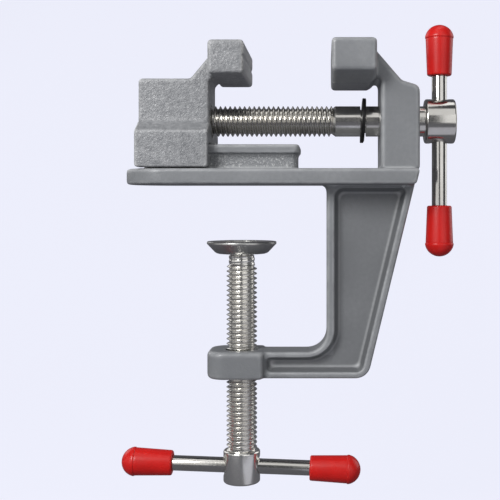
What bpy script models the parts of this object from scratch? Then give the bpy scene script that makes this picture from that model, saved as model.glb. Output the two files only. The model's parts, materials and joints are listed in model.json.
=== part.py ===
# Clamp-on table vise: a cast frame with a fixed jaw, a T rail and a C arm, a cast moving jaw on the
# rail, and two screws turned by sliding bars with red end caps.
#
# Frame: +X from the moving jaw to the fixed jaw, +Y away from the viewer, +Z up. The origin is on the
# seat under the base plate, above the clamp screw. Sizes along X are measured from the arm's inner
# side, where the table's edge comes to rest, so every shape is a child of an empty placed there.

import math

import bmesh
import bpy
from mathutils import Euler, Matrix, Vector

MM = 0.001
OBJECT_NAME = "clamp_on_table_vise"

# Clearances
RUN_GAP = 0.3 * MM  # between pieces that slide or turn on one another
CAP_GAP = 0.2 * MM  # between a bar's end and its cap
THREAD_GAP = 0.25 * MM  # between a screw's crests and its threaded bore
OVERRUN = 1.5 * MM  # how far cuts pass a face and joined shapes sink into one another

# Casting edges
EDGE_ROUND = 0.7 * MM
SOFT_ROUND = 0.9 * MM

# Base plate
BASE_THICK = 4.0 * MM
BASE_WIDE = 24.6 * MM
BASE_REACH = 51.3 * MM  # from the table's edge to the rounded end
BASE_END_ROUND = 10.5 * MM
BASE_TUCK = 0.2 * MM  # how far the plate's end stays inside the arm's outer edge

# T rail
RAIL_SET = 6.8 * MM  # from the table's edge back to the rail's near end
RAIL_LONG = 40.0 * MM
RAIL_STEM_WIDE = 12.6 * MM
RAIL_STEM_HIGH = 3.9 * MM
RAIL_STEM_INSET = 0.6 * MM  # each end of the stem behind the lip's
RAIL_LIP_WIDE = 16.6 * MM
RAIL_LIP_THICK = 2.25 * MM
RAIL_END_ROUND = 1.6 * MM

# Upright and fixed jaw
UPRIGHT_SET = 13.7 * MM  # from the table's edge to the upright's inner face
UPRIGHT_DEEP = 9.9 * MM
UPRIGHT_WIDE = 15.6 * MM
JAW_WIDE = 30.0 * MM
JAW_HIGH = 7.8 * MM
JAW_RISE = 32.0 * MM  # top of the fixed jaw above the base plate
FIXED_JAW_SET = 1.2 * MM  # clamping face past the table's edge
FIXED_JAW_DEEP = 11.2 * MM
KEEL_DROP = 2.8 * MM  # how far the tapered underside hangs below the jaw's flanks
KEEL_CHAMFER = 1.5 * MM
KEEL_OVER = 0.3 * MM  # the keel's edge outside the upright's side
NECK_DROP = 1.9 * MM  # start of the neck's slope below the jaw's top
NECK_SHOULDER_DROP = 9.6 * MM
NECK_SHOULDER_RUN = 6.6 * MM  # from the jaw's back to the shoulder
SHOULDER_FALL = 1.4 * MM
SHOULDER_ROUND = 1.8 * MM
NECK_FILLET = 1.1 * MM

# C arm
ARM_DROP = 42.6 * MM  # from the seat to the top of the lower arm
ARM_HIGH = 6.8 * MM
ARM_WIDE = 10.4 * MM
ARM_TOP_DEEP = 22.5 * MM  # depth of the upright part of the arm at the seat
ARM_FOOT_DEEP = 10.5 * MM  # and at its lowest edge
ARM_INNER_ROUND = 5.1 * MM
ARM_OUTER_ROUND = 3.9 * MM
WEB_THICK = 4.4 * MM
RIM_INNER = 1.9 * MM  # width of the rim along the table side
RIM_OUTER = 1.7 * MM
RIM_UNDER = 1.5 * MM
RIM_OVER = 1.3 * MM
RIM_TOP = 0.7 * MM
RIM_END = 0.4 * MM  # between the boss and the end of the pocket
POCKET_ROUND = 2.4 * MM
POCKET_END_ROUND = 1.3 * MM
POCKET_FLOOR_ROUND = 1.2 * MM

# Boss at the end of the lower arm
BOSS_LONG = 14.7 * MM
BOSS_AHEAD = 8.6 * MM  # from the clamp screw's axis to the boss's free end
BOSS_WIDE = 14.0 * MM
BOSS_END_ROUND = 4.4 * MM
BOSS_BACK_ROUND = 1.5 * MM
BOSS_EDGE_ROUND = 1.1 * MM

# Moving jaw
JAW_OPEN = 21.5 * MM  # between the clamping faces as photographed
MOVING_JAW_DEEP = 8.9 * MM
MOVING_JAW_HIGH = 8.3 * MM
MOVING_JAW_RISE = 31.4 * MM
GROOVE_WIDE = 1.2 * MM
GROOVE_DEEP = 0.6 * MM
BLOCK_LONG = 17.8 * MM
BLOCK_WIDE = 15.0 * MM
BLOCK_RISE = 22.8 * MM  # top of the upper block above the base plate
BLOCK_SETBACK = 0.5 * MM  # inner side of the block behind the back of the jaw head
SLOPE_TOP_RISE = 11.9 * MM  # where the sloped band leaves the upper block
SKIRT_RISE = 9.4 * MM  # where the sloped band meets the skirt
SKIRT_WALL = 3.4 * MM
SKIRT_OVER = 0.25 * MM  # the skirt stands past the block at each end
NECK_RUN = 5.2 * MM
NECK_RISE = 6.3 * MM
GUSSET = 1.1 * MM

# Jaw screw
SCREW_DIA = 7.9 * MM
SHANK_DIA = 7.86 * MM
SCREW_RISE = 12.5 * MM  # axis above the base plate
TIP_CHAMFER = 0.9 * MM
TIP_INSET = 2.5 * MM  # the tip's distance inside the moving jaw's far side
THREAD_STOP = 1.4 * MM  # end of the thread past the table's edge
THREAD_RUNOUT = 1.2 * MM
HEAD_GAP = 1.8 * MM  # between the upright and the screw's head
JAW_HEAD_DIA = 11.5 * MM
JAW_HEAD_LONG = 7.8 * MM
HEAD_ROUND = 0.5 * MM

# Snap ring on the jaw screw
CLIP_DIA = 12.0 * MM
CLIP_THICK = 0.9 * MM
CLIP_STANDOFF = 3.8 * MM  # from the ring to the upright
CLIP_GROOVE_DIA = 6.0 * MM
CLIP_GROOVE_WIDE = 1.5 * MM
CLIP_SEAT_GAP = 0.15 * MM
CLIP_MOUTH = 4.9 * MM
CLIP_BODY = 2.0 * MM
CLIP_EDGE = 0.11 * MM
CLIP_LEAN_DEG = 3.0
CLIP_LUG_SET_DEG = 14.0  # middle of each end lug from its tip
CLIP_LUG_HALF_DEG = 17.0

# Bars and caps
BAR_DIA = 3.9 * MM
BAR_HOLE_DIA = 4.6 * MM
BAR_END_CHAMFER = 0.4 * MM
JAW_BAR_SPAN = 60.1 * MM  # over both caps
JAW_BAR_DROP = 5.0 * MM  # how far the bar hangs below the middle of its hole
CLAMP_BAR_SPAN = 62.1 * MM
CLAMP_BAR_SHIFT = -0.15 * MM
CLAMP_BAR_LEAN_DEG = 1.9
CAP_LONG = 13.2 * MM
CAP_SHOULDER_DIA = 7.4 * MM
CAP_BODY_DIA = 7.1 * MM
CAP_MOUTH_DIA = 6.4 * MM
CAP_DOME = 3.1 * MM
CAP_STEP = 0.35 * MM
CAP_END_WALL = 1.9 * MM
CAP_MOUTH_ROUND = 0.5 * MM

# Clamp screw and swivel pad
CLAMP_REACH = 22.0 * MM  # from the table's edge to the screw's axis
TABLE_GRIP = 14.6 * MM  # between the seat and the pad's face as photographed
PAD_DIA = 18.0 * MM
PAD_FOOT_DIA = 13.0 * MM
PAD_HIGH = 3.2 * MM
PAD_RIM = 0.6 * MM
PAD_FOOT_ROUND = 0.8 * MM
PAD_RECESS_DIA = 9.0 * MM
PAD_RECESS_DEEP = 1.6 * MM
PIVOT_DIA = 4.8 * MM
RIVET_DIA = 7.4 * MM
RIVET_HIGH = 0.8 * MM
NOSE_DIA = 6.7 * MM
NOSE_LONG = 2.5 * MM
CLAMP_HEAD_DIA = 9.5 * MM
CLAMP_HEAD_LONG = 8.4 * MM
CLAMP_SHANK_LONG = 48.0 * MM  # from the nose's foot to the head

# Shares of a side
CORNER_SHARE = 0.49  # most of a side that one corner's arc may take
ROUND_END_SHARE = 0.9  # most of a half width that a rounded end may take

# Facets
TURN_STEPS = 48
CAP_STEPS = 32
ARC_STEP_DEG = 11.25
ROUND_SEGMENTS = 2
CHAMFER_SEGMENTS = 1
EDGE_SEGMENTS = 3
DOME_STEPS = 6
SMALL_ARC_STEPS = 3
CLIP_STEPS = 48
JAW_BORE_STEPS = 16
HOLE_STEPS = 32

# Colours, as linear RGB
CAST_GREY = (0.245, 0.252, 0.262, 1.0)
CAST_GREY_ROUGH = (0.295, 0.302, 0.312, 1.0)
NICKEL = (0.62, 0.60, 0.56, 1.0)
PAD_GREY = (0.42, 0.42, 0.41, 1.0)
BLACK_STEEL = (0.012, 0.012, 0.013, 1.0)
CAP_RED = (0.72, 0.024, 0.022, 1.0)

# Worked out from the sizes above
base_half = BASE_WIDE / 2
upright_outer = UPRIGHT_SET + UPRIGHT_DEEP
rail_foot = BASE_THICK
lip_under = rail_foot + RAIL_STEM_HIGH
lip_top = lip_under + RAIL_LIP_THICK
screw_z = BASE_THICK + SCREW_RISE
bore_radius = SCREW_DIA / 2 + THREAD_GAP
moving_face = FIXED_JAW_SET - JAW_OPEN
moving_back = moving_face - MOVING_JAW_DEEP
block_near = moving_back - BLOCK_SETBACK
block_far = block_near - BLOCK_LONG
head_near = upright_outer + HEAD_GAP
head_far = head_near + JAW_HEAD_LONG
clip_x = UPRIGHT_SET - CLIP_STANDOFF - CLIP_THICK / 2
jaw_bar_x = (head_near + head_far) / 2
arm_slope = (ARM_TOP_DEEP - ARM_FOOT_DEEP) / (ARM_DROP + ARM_HIGH)
arm_foot = -ARM_DROP - ARM_HIGH
pad_face = -TABLE_GRIP
pad_foot = pad_face - PAD_HIGH
nose_top = pad_foot - RUN_GAP
clamp_head_top = nose_top - NOSE_LONG - CLAMP_SHANK_LONG
clamp_head_foot = clamp_head_top - CLAMP_HEAD_LONG
clamp_bar_z = (clamp_head_top + clamp_head_foot) / 2

ALONG_X = (math.radians(90), 0, math.radians(90))  # outline in Y and Z, extruded along X
ALONG_Y = (math.radians(90), 0, 0)  # outline in X and Z, extruded along Y
ALONG_Z = (0, 0, 0)


def clear_scene():
    for obj in list(bpy.data.objects):
        bpy.data.objects.remove(obj, do_unlink=True)
    for group in list(bpy.data.collections):
        bpy.data.collections.remove(group)


def empty(name, location, group, parent=None):
    made = bpy.data.objects.new(name, None)
    made.location = location
    made.parent = parent
    group.objects.link(made)
    return made


def collection(name):
    made = bpy.data.collections.new(name)
    bpy.context.scene.collection.children.link(made)
    return made


def material(name, colour, roughness, metallic):
    made = bpy.data.materials.new(name)
    made.use_nodes = True
    shader = made.node_tree.nodes["Principled BSDF"]
    shader.inputs["Base Color"].default_value = colour
    shader.inputs["Roughness"].default_value = roughness
    shader.inputs["Metallic"].default_value = metallic
    made.diffuse_color = colour
    return made


clear_scene()
PARTS = collection(OBJECT_NAME)
SHAPES = collection(OBJECT_NAME + "_shapes")
TABLE_EDGE = empty("table_edge", (CLAMP_REACH, 0, 0), PARTS)

PAINTED = material("painted casting", CAST_GREY, 0.45, 0.0)
PAINTED_ROUGH = material("painted rough casting", CAST_GREY_ROUGH, 0.55, 0.0)
PLATED = material("nickel plated steel", NICKEL, 0.22, 1.0)
PLATED_PAD = material("dull plated steel", PAD_GREY, 0.42, 1.0)
BLACKED = material("blacked spring steel", BLACK_STEEL, 0.4, 0.6)
RED = material("red plastic", CAP_RED, 0.3, 0.0)


def rounded(corners):
    """The outline through corners (x, y, radius), with each corner turned into an arc."""
    points = []
    for i, (x, y, radius) in enumerate(corners):
        here = Vector((x, y))
        before = Vector(corners[i - 1][:2]) - here
        after = Vector(corners[(i + 1) % len(corners)][:2]) - here
        if radius <= 0:
            points.append(here)
            continue
        to_before = before.normalized()
        to_after = after.normalized()
        half = to_before.angle(to_after) / 2
        longest = min(before.length, after.length) * CORNER_SHARE
        reach = min(radius / math.tan(half), longest)
        radius = reach * math.tan(half)
        centre = here + (to_before + to_after).normalized() * (radius / math.sin(half))
        start = here + to_before * reach - centre
        sweep = math.pi - 2 * half
        turn = 1 if to_before.cross(to_after) < 0 else -1
        steps = max(1, math.ceil(math.degrees(sweep) / ARC_STEP_DEG))
        for k in range(steps + 1):
            spin = Matrix.Rotation(turn * sweep * k / steps, 2)
            points.append(centre + spin @ start)
    return points


def add(name, mesh, group, mat=None, location=(0, 0, 0), rotation=(0, 0, 0)):
    obj = bpy.data.objects.new(name, mesh)
    obj.location = location
    obj.rotation_euler = rotation
    obj.parent = TABLE_EDGE
    group.objects.link(obj)
    if mat:
        mesh.materials.clear()
        mesh.materials.append(mat)
    if group == SHAPES:
        obj.hide_render = True
        obj.display_type = "WIRE"
    return obj


def plate(name, outline, thick, group, mat=None, location=(0, 0, 0), rotation=ALONG_Z):
    """A flat outline given thickness, half of it on each side of its plane, as a mesh."""
    curve = bpy.data.curves.new(name, "CURVE")
    curve.dimensions = "2D"
    curve.fill_mode = "BOTH"
    curve.extrude = thick / 2
    spline = curve.splines.new("POLY")
    spline.points.add(len(outline) - 1)
    for point, (x, y) in zip(spline.points, outline):
        point.co = (x, y, 0, 1)
    spline.use_cyclic_u = True
    guide = bpy.data.objects.new(name, curve)
    bpy.context.scene.collection.objects.link(guide)
    seen = guide.evaluated_get(bpy.context.evaluated_depsgraph_get())
    mesh = bpy.data.meshes.new_from_object(seen)
    bpy.data.objects.remove(guide, do_unlink=True)
    bpy.data.curves.remove(curve)
    shape = bmesh.new()
    shape.from_mesh(mesh)
    bmesh.ops.remove_doubles(shape, verts=shape.verts, dist=MM / 1000)
    bmesh.ops.dissolve_limit(
        shape, angle_limit=math.radians(1), verts=shape.verts, edges=shape.edges
    )
    bmesh.ops.recalc_face_normals(shape, faces=shape.faces)
    shape.to_mesh(mesh)
    shape.free()
    mesh.name = name
    return add(name, mesh, group, mat, location, rotation)


def rounding(obj, width, segments=ROUND_SEGMENTS, angle=60):
    bevel = obj.modifiers.new("edges", "BEVEL")
    bevel.width = width
    bevel.segments = segments
    bevel.limit_method = "ANGLE"
    bevel.angle_limit = math.radians(angle)
    return obj


def combine(obj, other, operation):
    step = obj.modifiers.new(operation.lower() + " " + other.name, "BOOLEAN")
    step.operation = operation
    step.object = other
    step.solver = "EXACT"
    return obj


def turned(name, profile, group, mat=None, location=(0, 0, 0), rotation=(0, 0, 0), steps=TURN_STEPS):
    """A solid of revolution about local Z, from (radius, height) points listed from the top down."""
    mesh = bpy.data.meshes.new(name)
    shape = bmesh.new()
    verts = [shape.verts.new((radius, 0, height)) for radius, height in profile]
    for a, b in zip(verts, verts[1:]):
        shape.edges.new((a, b))
    if profile[0][0] > 0 and profile[-1][0] > 0:
        shape.edges.new((verts[-1], verts[0]))
    shape.to_mesh(mesh)
    shape.free()
    obj = add(name, mesh, group, mat, location, rotation)
    screw = obj.modifiers.new("turn", "SCREW")
    screw.axis = "Z"
    screw.steps = steps
    screw.render_steps = steps
    screw.use_merge_vertices = True
    screw.merge_threshold = MM / 1000
    screw.use_smooth_shade = True
    return obj


def rod(name, radius, start, end, steps=TURN_STEPS):
    """A cylinder between two points, kept among the shapes."""
    along = Vector(end) - Vector(start)
    mesh = bpy.data.meshes.new(name)
    shape = bmesh.new()
    bmesh.ops.create_cone(
        shape, cap_ends=True, segments=steps, radius1=radius, radius2=radius, depth=along.length
    )
    shape.to_mesh(mesh)
    shape.free()
    middle = (Vector(start) + Vector(end)) / 2
    obj = add(name, mesh, SHAPES, None, middle)
    obj.rotation_euler = along.to_track_quat("Z", "Y").to_euler()
    return obj


def arc_points(radius, centre_r, centre_h, start_deg, end_deg, count=SMALL_ARC_STEPS):
    """Points (radius, height) along an arc in a turned profile."""
    points = []
    for k in range(count + 1):
        angle = math.radians(start_deg + (end_deg - start_deg) * k / count)
        points.append((centre_r + radius * math.cos(angle), centre_h + radius * math.sin(angle)))
    return points


def smooth(obj, angle=35):
    obj.data.shade_smooth()
    obj.data.set_sharp_from_angle(angle=math.radians(angle))
    return obj


# Frame casting


def arm_back(z):
    """X of the arm's sloping outer edge at height z."""
    return ARM_TOP_DEEP + arm_slope * z


def base_outline():
    end = min(BASE_END_ROUND, base_half * ROUND_END_SHARE)
    return rounded([
        (-BASE_REACH, -base_half, end),
        (arm_back(BASE_THICK) - BASE_TUCK + OVERRUN, -base_half, 0),
        (arm_back(BASE_THICK) - BASE_TUCK + OVERRUN, base_half, 0),
        (-BASE_REACH, base_half, end),
    ])


def rail_outline(wide, inset):
    near = -RAIL_SET - inset
    far = -RAIL_SET - RAIL_LONG + inset
    return rounded([
        (far, -wide / 2, RAIL_END_ROUND),
        (near, -wide / 2, RAIL_END_ROUND),
        (near, wide / 2, RAIL_END_ROUND),
        (far, wide / 2, RAIL_END_ROUND),
    ])


def upright_outline():
    jaw_top = BASE_THICK + JAW_RISE
    jaw_back = FIXED_JAW_SET + FIXED_JAW_DEEP
    jaw_under = jaw_top - JAW_HIGH
    sunk = BASE_THICK - OVERRUN / 2
    shoulder = jaw_top - NECK_SHOULDER_DROP
    neck_under = jaw_under - KEEL_DROP / 2
    return rounded([
        (UPRIGHT_SET, sunk, 0),
        (arm_back(sunk) - OVERRUN / 2, sunk, 0),
        (arm_back(BASE_THICK), BASE_THICK, 0),
        (upright_outer, BASE_THICK + EDGE_ROUND, 0),
        (upright_outer, shoulder - SHOULDER_FALL, SHOULDER_ROUND),
        (jaw_back + NECK_SHOULDER_RUN, shoulder, SOFT_ROUND),
        (jaw_back, jaw_top - NECK_DROP, 0),
        (jaw_back - OVERRUN, jaw_top - NECK_DROP, 0),
        (jaw_back - OVERRUN, neck_under, 0),
        (UPRIGHT_SET, neck_under, NECK_FILLET),
    ])


def jaw_section():
    """The fixed jaw across its width: upright flanks, and an underside that tapers to a keel."""
    top = BASE_THICK + JAW_RISE
    flank = top - JAW_HIGH
    keel = flank - KEEL_DROP
    keel_half = UPRIGHT_WIDE / 2 + KEEL_OVER
    return rounded([
        (-JAW_WIDE / 2, flank, 0),
        (-keel_half, keel, 0),
        (keel_half, keel, 0),
        (JAW_WIDE / 2, flank, 0),
        (JAW_WIDE / 2, top, 0),
        (-JAW_WIDE / 2, top, 0),
    ])


def arm_outline():
    sunk = BASE_THICK - EDGE_ROUND
    return rounded([
        (0, sunk, 0),
        (0, -ARM_DROP, ARM_INNER_ROUND),
        (-CLAMP_REACH, -ARM_DROP, 0),
        (-CLAMP_REACH, arm_foot, 0),
        (arm_back(arm_foot), arm_foot, ARM_OUTER_ROUND),
        (arm_back(sunk), sunk, 0),
    ])


def pocket_outline():
    """The recess in one side of the arm, inside its rim."""
    pocket_end = -CLAMP_REACH - BOSS_AHEAD + BOSS_LONG + RIM_END
    over = -ARM_DROP - RIM_OVER
    under = arm_foot + RIM_UNDER
    top = -RIM_TOP
    return rounded([
        (RIM_INNER, top, POCKET_ROUND),
        (RIM_INNER, over, ARM_INNER_ROUND + RIM_INNER),
        (pocket_end, over, POCKET_END_ROUND),
        (pocket_end, under, POCKET_END_ROUND),
        (arm_back(under) - RIM_OUTER, under, max(ARM_OUTER_ROUND - RIM_OUTER, POCKET_END_ROUND)),
        (arm_back(top) - RIM_OUTER, top, POCKET_END_ROUND),
    ])


def boss_outline():
    free_end = -CLAMP_REACH - BOSS_AHEAD
    back = free_end + BOSS_LONG
    half = BOSS_WIDE / 2
    return rounded([
        (free_end, -half, min(BOSS_END_ROUND, half * ROUND_END_SHARE)),
        (back, -half, BOSS_BACK_ROUND),
        (back, half, BOSS_BACK_ROUND),
        (free_end, half, min(BOSS_END_ROUND, half * ROUND_END_SHARE)),
    ])


frame = plate("frame", base_outline(), BASE_THICK, PARTS, PAINTED)
for vertex in frame.data.vertices:
    vertex.co.z += BASE_THICK / 2
end_slope = plate(
    "base_end_slope",
    [
        (arm_back(-OVERRUN) - BASE_TUCK, -OVERRUN),
        (arm_back(-OVERRUN) + UPRIGHT_DEEP, -OVERRUN),
        (arm_back(-OVERRUN) + UPRIGHT_DEEP, BASE_THICK + OVERRUN),
        (arm_back(BASE_THICK + OVERRUN) - BASE_TUCK, BASE_THICK + OVERRUN),
    ],
    BASE_WIDE + 2 * OVERRUN, SHAPES, rotation=ALONG_Y,
)
combine(frame, end_slope, "DIFFERENCE")
rounding(frame, EDGE_ROUND)

rail_stem = plate(
    "rail_stem", rail_outline(RAIL_STEM_WIDE, RAIL_STEM_INSET), RAIL_STEM_HIGH + 2 * OVERRUN, SHAPES,
    location=(0, 0, rail_foot + RAIL_STEM_HIGH / 2),
)
rail_lip = rounding(plate(
    "rail_lip", rail_outline(RAIL_LIP_WIDE, 0), RAIL_LIP_THICK, SHAPES,
    location=(0, 0, lip_under + RAIL_LIP_THICK / 2),
), EDGE_ROUND / 2)
upright = rounding(
    plate("upright", upright_outline(), UPRIGHT_WIDE, SHAPES, rotation=ALONG_Y), SOFT_ROUND
)
fixed_jaw = rounding(plate(
    "fixed_jaw", jaw_section(), FIXED_JAW_DEEP, SHAPES,
    location=(FIXED_JAW_SET + FIXED_JAW_DEEP / 2, 0, 0), rotation=ALONG_X,
), SOFT_ROUND, angle=50)
arm = rounding(plate("arm", arm_outline(), ARM_WIDE, SHAPES, rotation=ALONG_Y), EDGE_ROUND)
boss = rounding(plate(
    "boss", boss_outline(), ARM_HIGH + EDGE_ROUND / 2, SHAPES,
    location=(0, 0, -ARM_DROP - ARM_HIGH / 2),
), BOSS_EDGE_ROUND, segments=EDGE_SEGMENTS)
for shape in (upright, fixed_jaw, rail_stem, rail_lip, arm, boss):
    combine(frame, shape, "UNION")

pocket_deep = (ARM_WIDE - WEB_THICK) / 2
for side, name in ((-1, "pocket_near"), (1, "pocket_away")):
    pocket = rounding(plate(
        name, pocket_outline(), pocket_deep + OVERRUN, SHAPES,
        location=(0, side * (WEB_THICK + pocket_deep + OVERRUN) / 2, 0), rotation=ALONG_Y,
    ), POCKET_FLOOR_ROUND, segments=EDGE_SEGMENTS)
    combine(frame, pocket, "DIFFERENCE")

keel_right = FIXED_JAW_SET + FIXED_JAW_DEEP
keel_z = BASE_THICK + JAW_RISE - JAW_HIGH - KEEL_DROP
keel_chamfer = plate(
    "keel_chamfer",
    [
        (keel_right - KEEL_CHAMFER, keel_z - OVERRUN),
        (keel_right + RUN_GAP, keel_z - OVERRUN),
        (keel_right + RUN_GAP, keel_z + KEEL_CHAMFER),
        (keel_right - KEEL_CHAMFER, keel_z),
    ],
    UPRIGHT_WIDE + 2 * KEEL_OVER + 2 * OVERRUN, SHAPES, rotation=ALONG_Y,
)
combine(frame, keel_chamfer, "DIFFERENCE")
combine(frame, rod(
    "shank_bore", bore_radius,
    (UPRIGHT_SET - OVERRUN, 0, screw_z), (upright_outer + OVERRUN, 0, screw_z),
), "DIFFERENCE")
combine(frame, rod(
    "clamp_bore", bore_radius,
    (-CLAMP_REACH, 0, -ARM_DROP + OVERRUN), (-CLAMP_REACH, 0, arm_foot - OVERRUN),
), "DIFFERENCE")
smooth(frame)

# Moving jaw casting. Its edges are plain chamfers and its bore has few sides, which keeps it light.


def skirt_section():
    """The slide across the rail: outer walls, sloped shoulders and the T slot that rides the lip."""
    slot_half = RAIL_LIP_WIDE / 2 + RUN_GAP
    mouth_half = RAIL_STEM_WIDE / 2 + RUN_GAP
    wall = slot_half + SKIRT_WALL
    foot = BASE_THICK + RUN_GAP
    ledge = lip_under - RUN_GAP
    ceiling = lip_top + RUN_GAP
    half = [
        (mouth_half, foot, 0),
        (wall, foot, EDGE_ROUND),
        (wall, BASE_THICK + SKIRT_RISE, SOFT_ROUND),
        (BLOCK_WIDE / 2, BASE_THICK + SLOPE_TOP_RISE, 0),
    ]
    slot = [
        (-mouth_half, foot, 0),
        (-mouth_half, ledge, 0),
        (-slot_half, ledge, 0),
        (-slot_half, ceiling, 0),
        (slot_half, ceiling, 0),
        (slot_half, ledge, 0),
        (mouth_half, ledge, 0),
    ]
    other = [(-x, z, r) for x, z, r in reversed(half)]
    return rounded(half + other + slot[1:])


def block_outline():
    top = BASE_THICK + BLOCK_RISE
    jaw_top = BASE_THICK + MOVING_JAW_RISE
    jaw_under = jaw_top - MOVING_JAW_HIGH
    sunk = BASE_THICK + SKIRT_RISE
    return rounded([
        (block_near, sunk, 0),
        (block_near, jaw_under - GUSSET, 0),
        (block_near + BLOCK_SETBACK + GUSSET, jaw_under + OVERRUN / 2, 0),
        (moving_back + OVERRUN, top + NECK_RISE, 0),
        (moving_back, top + NECK_RISE, 0),
        (moving_back - NECK_RUN, top, SOFT_ROUND),
        (block_far, top, SOFT_ROUND),
        (block_far, sunk, 0),
    ])


skirt_long = BLOCK_LONG + 2 * SKIRT_OVER
moving_jaw = plate("moving_jaw", skirt_section(), skirt_long, PARTS, PAINTED_ROUGH)
turn_upright = Matrix.Rotation(math.radians(90), 4, "Z") @ Matrix.Rotation(math.radians(90), 4, "X")
moving_jaw.data.transform(turn_upright)
moving_jaw.data.transform(Matrix.Translation(((block_near + block_far) / 2, 0, -screw_z)))
moving_jaw.location = (0, 0, screw_z)
rounding(moving_jaw, EDGE_ROUND, CHAMFER_SEGMENTS, angle=80)
block = rounding(
    plate("jaw_block", block_outline(), BLOCK_WIDE, SHAPES, rotation=ALONG_Y), SOFT_ROUND,
    CHAMFER_SEGMENTS, angle=50,
)
jaw_head = rounding(plate(
    "jaw_head",
    [
        (-JAW_WIDE / 2, BASE_THICK + MOVING_JAW_RISE - MOVING_JAW_HIGH),
        (JAW_WIDE / 2, BASE_THICK + MOVING_JAW_RISE - MOVING_JAW_HIGH),
        (JAW_WIDE / 2, BASE_THICK + MOVING_JAW_RISE),
        (-JAW_WIDE / 2, BASE_THICK + MOVING_JAW_RISE),
    ],
    MOVING_JAW_DEEP, SHAPES,
    location=((moving_face + moving_back) / 2, 0, 0), rotation=ALONG_X,
), SOFT_ROUND, CHAMFER_SEGMENTS)
groove_z = BASE_THICK + MOVING_JAW_RISE - MOVING_JAW_HIGH / 2
groove = plate(
    "jaw_groove",
    [
        (moving_face - GROOVE_DEEP, groove_z),
        (moving_face + OVERRUN, groove_z - GROOVE_WIDE / 2 - OVERRUN),
        (moving_face + OVERRUN, groove_z + GROOVE_WIDE / 2 + OVERRUN),
    ],
    JAW_WIDE + 2 * OVERRUN, SHAPES, rotation=ALONG_Y,
)
combine(moving_jaw, block, "UNION")
combine(moving_jaw, jaw_head, "UNION")
combine(moving_jaw, groove, "DIFFERENCE")
combine(moving_jaw, rod(
    "jaw_bore", bore_radius,
    (block_far - SKIRT_OVER - OVERRUN, 0, screw_z), (block_near + SKIRT_OVER + OVERRUN, 0, screw_z),
    steps=JAW_BORE_STEPS,
), "DIFFERENCE")
smooth(moving_jaw)

# Jaw screw, its snap ring and its bar

tip_x = block_far + TIP_INSET


def jaw_screw_profile():
    """From the head's outer end to the tip, as distances along X."""
    crest = SCREW_DIA / 2
    shank = SHANK_DIA / 2
    head = JAW_HEAD_DIA / 2
    groove_half = CLIP_GROOVE_WIDE / 2
    profile = [(0, head_far)]
    profile += reversed(arc_points(HEAD_ROUND, head - HEAD_ROUND, head_far - HEAD_ROUND, 0, 90))
    profile += reversed(arc_points(HEAD_ROUND, head - HEAD_ROUND, head_near + HEAD_ROUND, -90, 0))
    profile += [
        (shank, head_near),
        (shank, clip_x + groove_half),
        (CLIP_GROOVE_DIA / 2, clip_x + groove_half),
        (CLIP_GROOVE_DIA / 2, clip_x - groove_half),
        (shank, clip_x - groove_half),
        (shank, THREAD_STOP + THREAD_RUNOUT),
        (crest, THREAD_STOP),
        (crest, tip_x + TIP_CHAMFER),
        (crest - TIP_CHAMFER, tip_x),
        (0, tip_x),
    ]
    return profile


jaw_axis = empty("jaw_screw_axis", (0, 0, screw_z), PARTS, TABLE_EDGE)

jaw_screw = turned(
    "jaw_screw", jaw_screw_profile(), PARTS, PLATED, rotation=(0, math.radians(90), 0)
)
jaw_screw.parent = jaw_axis
jaw_bar_hole = rod(
    "jaw_bar_hole", BAR_HOLE_DIA / 2,
    (jaw_bar_x, 0, screw_z - JAW_HEAD_DIA), (jaw_bar_x, 0, screw_z + JAW_HEAD_DIA), steps=HOLE_STEPS,
)
combine(jaw_screw, jaw_bar_hole, "DIFFERENCE")


def clip_outline():
    """An open ring with three inner lugs that grip the groove, its mouth facing down."""
    outer = CLIP_DIA / 2
    inner = outer - CLIP_BODY
    seat = CLIP_GROOVE_DIA / 2 + CLIP_SEAT_GAP
    mouth = math.asin(CLIP_MOUTH / 2 / outer)
    first = -math.pi / 2 + mouth
    last = math.pi * 3 / 2 - mouth
    away = math.radians(CLIP_LUG_SET_DEG)
    lugs = (math.pi / 2, first + away, last - away)
    ring = []
    for k in range(CLIP_STEPS + 1):
        angle = first + (last - first) * k / CLIP_STEPS
        ring.append((outer * math.cos(angle), outer * math.sin(angle)))
    for k in range(CLIP_STEPS + 1):
        angle = last + (first - last) * k / CLIP_STEPS
        near = min(abs(angle - lug) for lug in lugs)
        radius = seat if near < math.radians(CLIP_LUG_HALF_DEG) else inner
        ring.append((radius * math.cos(angle), radius * math.sin(angle)))
    return ring


lean = Matrix.Rotation(math.radians(CLIP_LEAN_DEG), 3, "Y") @ Euler(ALONG_X).to_matrix()
snap_ring = plate(
    "snap_ring", clip_outline(), CLIP_THICK, PARTS, BLACKED, (clip_x, 0, 0), lean.to_euler()
)
snap_ring.parent = jaw_axis
rounding(snap_ring, CLIP_EDGE, CHAMFER_SEGMENTS)


def bar_profile(span):
    half = span / 2 - CAP_END_WALL - CAP_GAP
    radius = BAR_DIA / 2
    return [
        (0, half),
        (radius - BAR_END_CHAMFER, half),
        (radius, half - BAR_END_CHAMFER),
        (radius, -half + BAR_END_CHAMFER),
        (radius - BAR_END_CHAMFER, -half),
        (0, -half),
    ]


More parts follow.
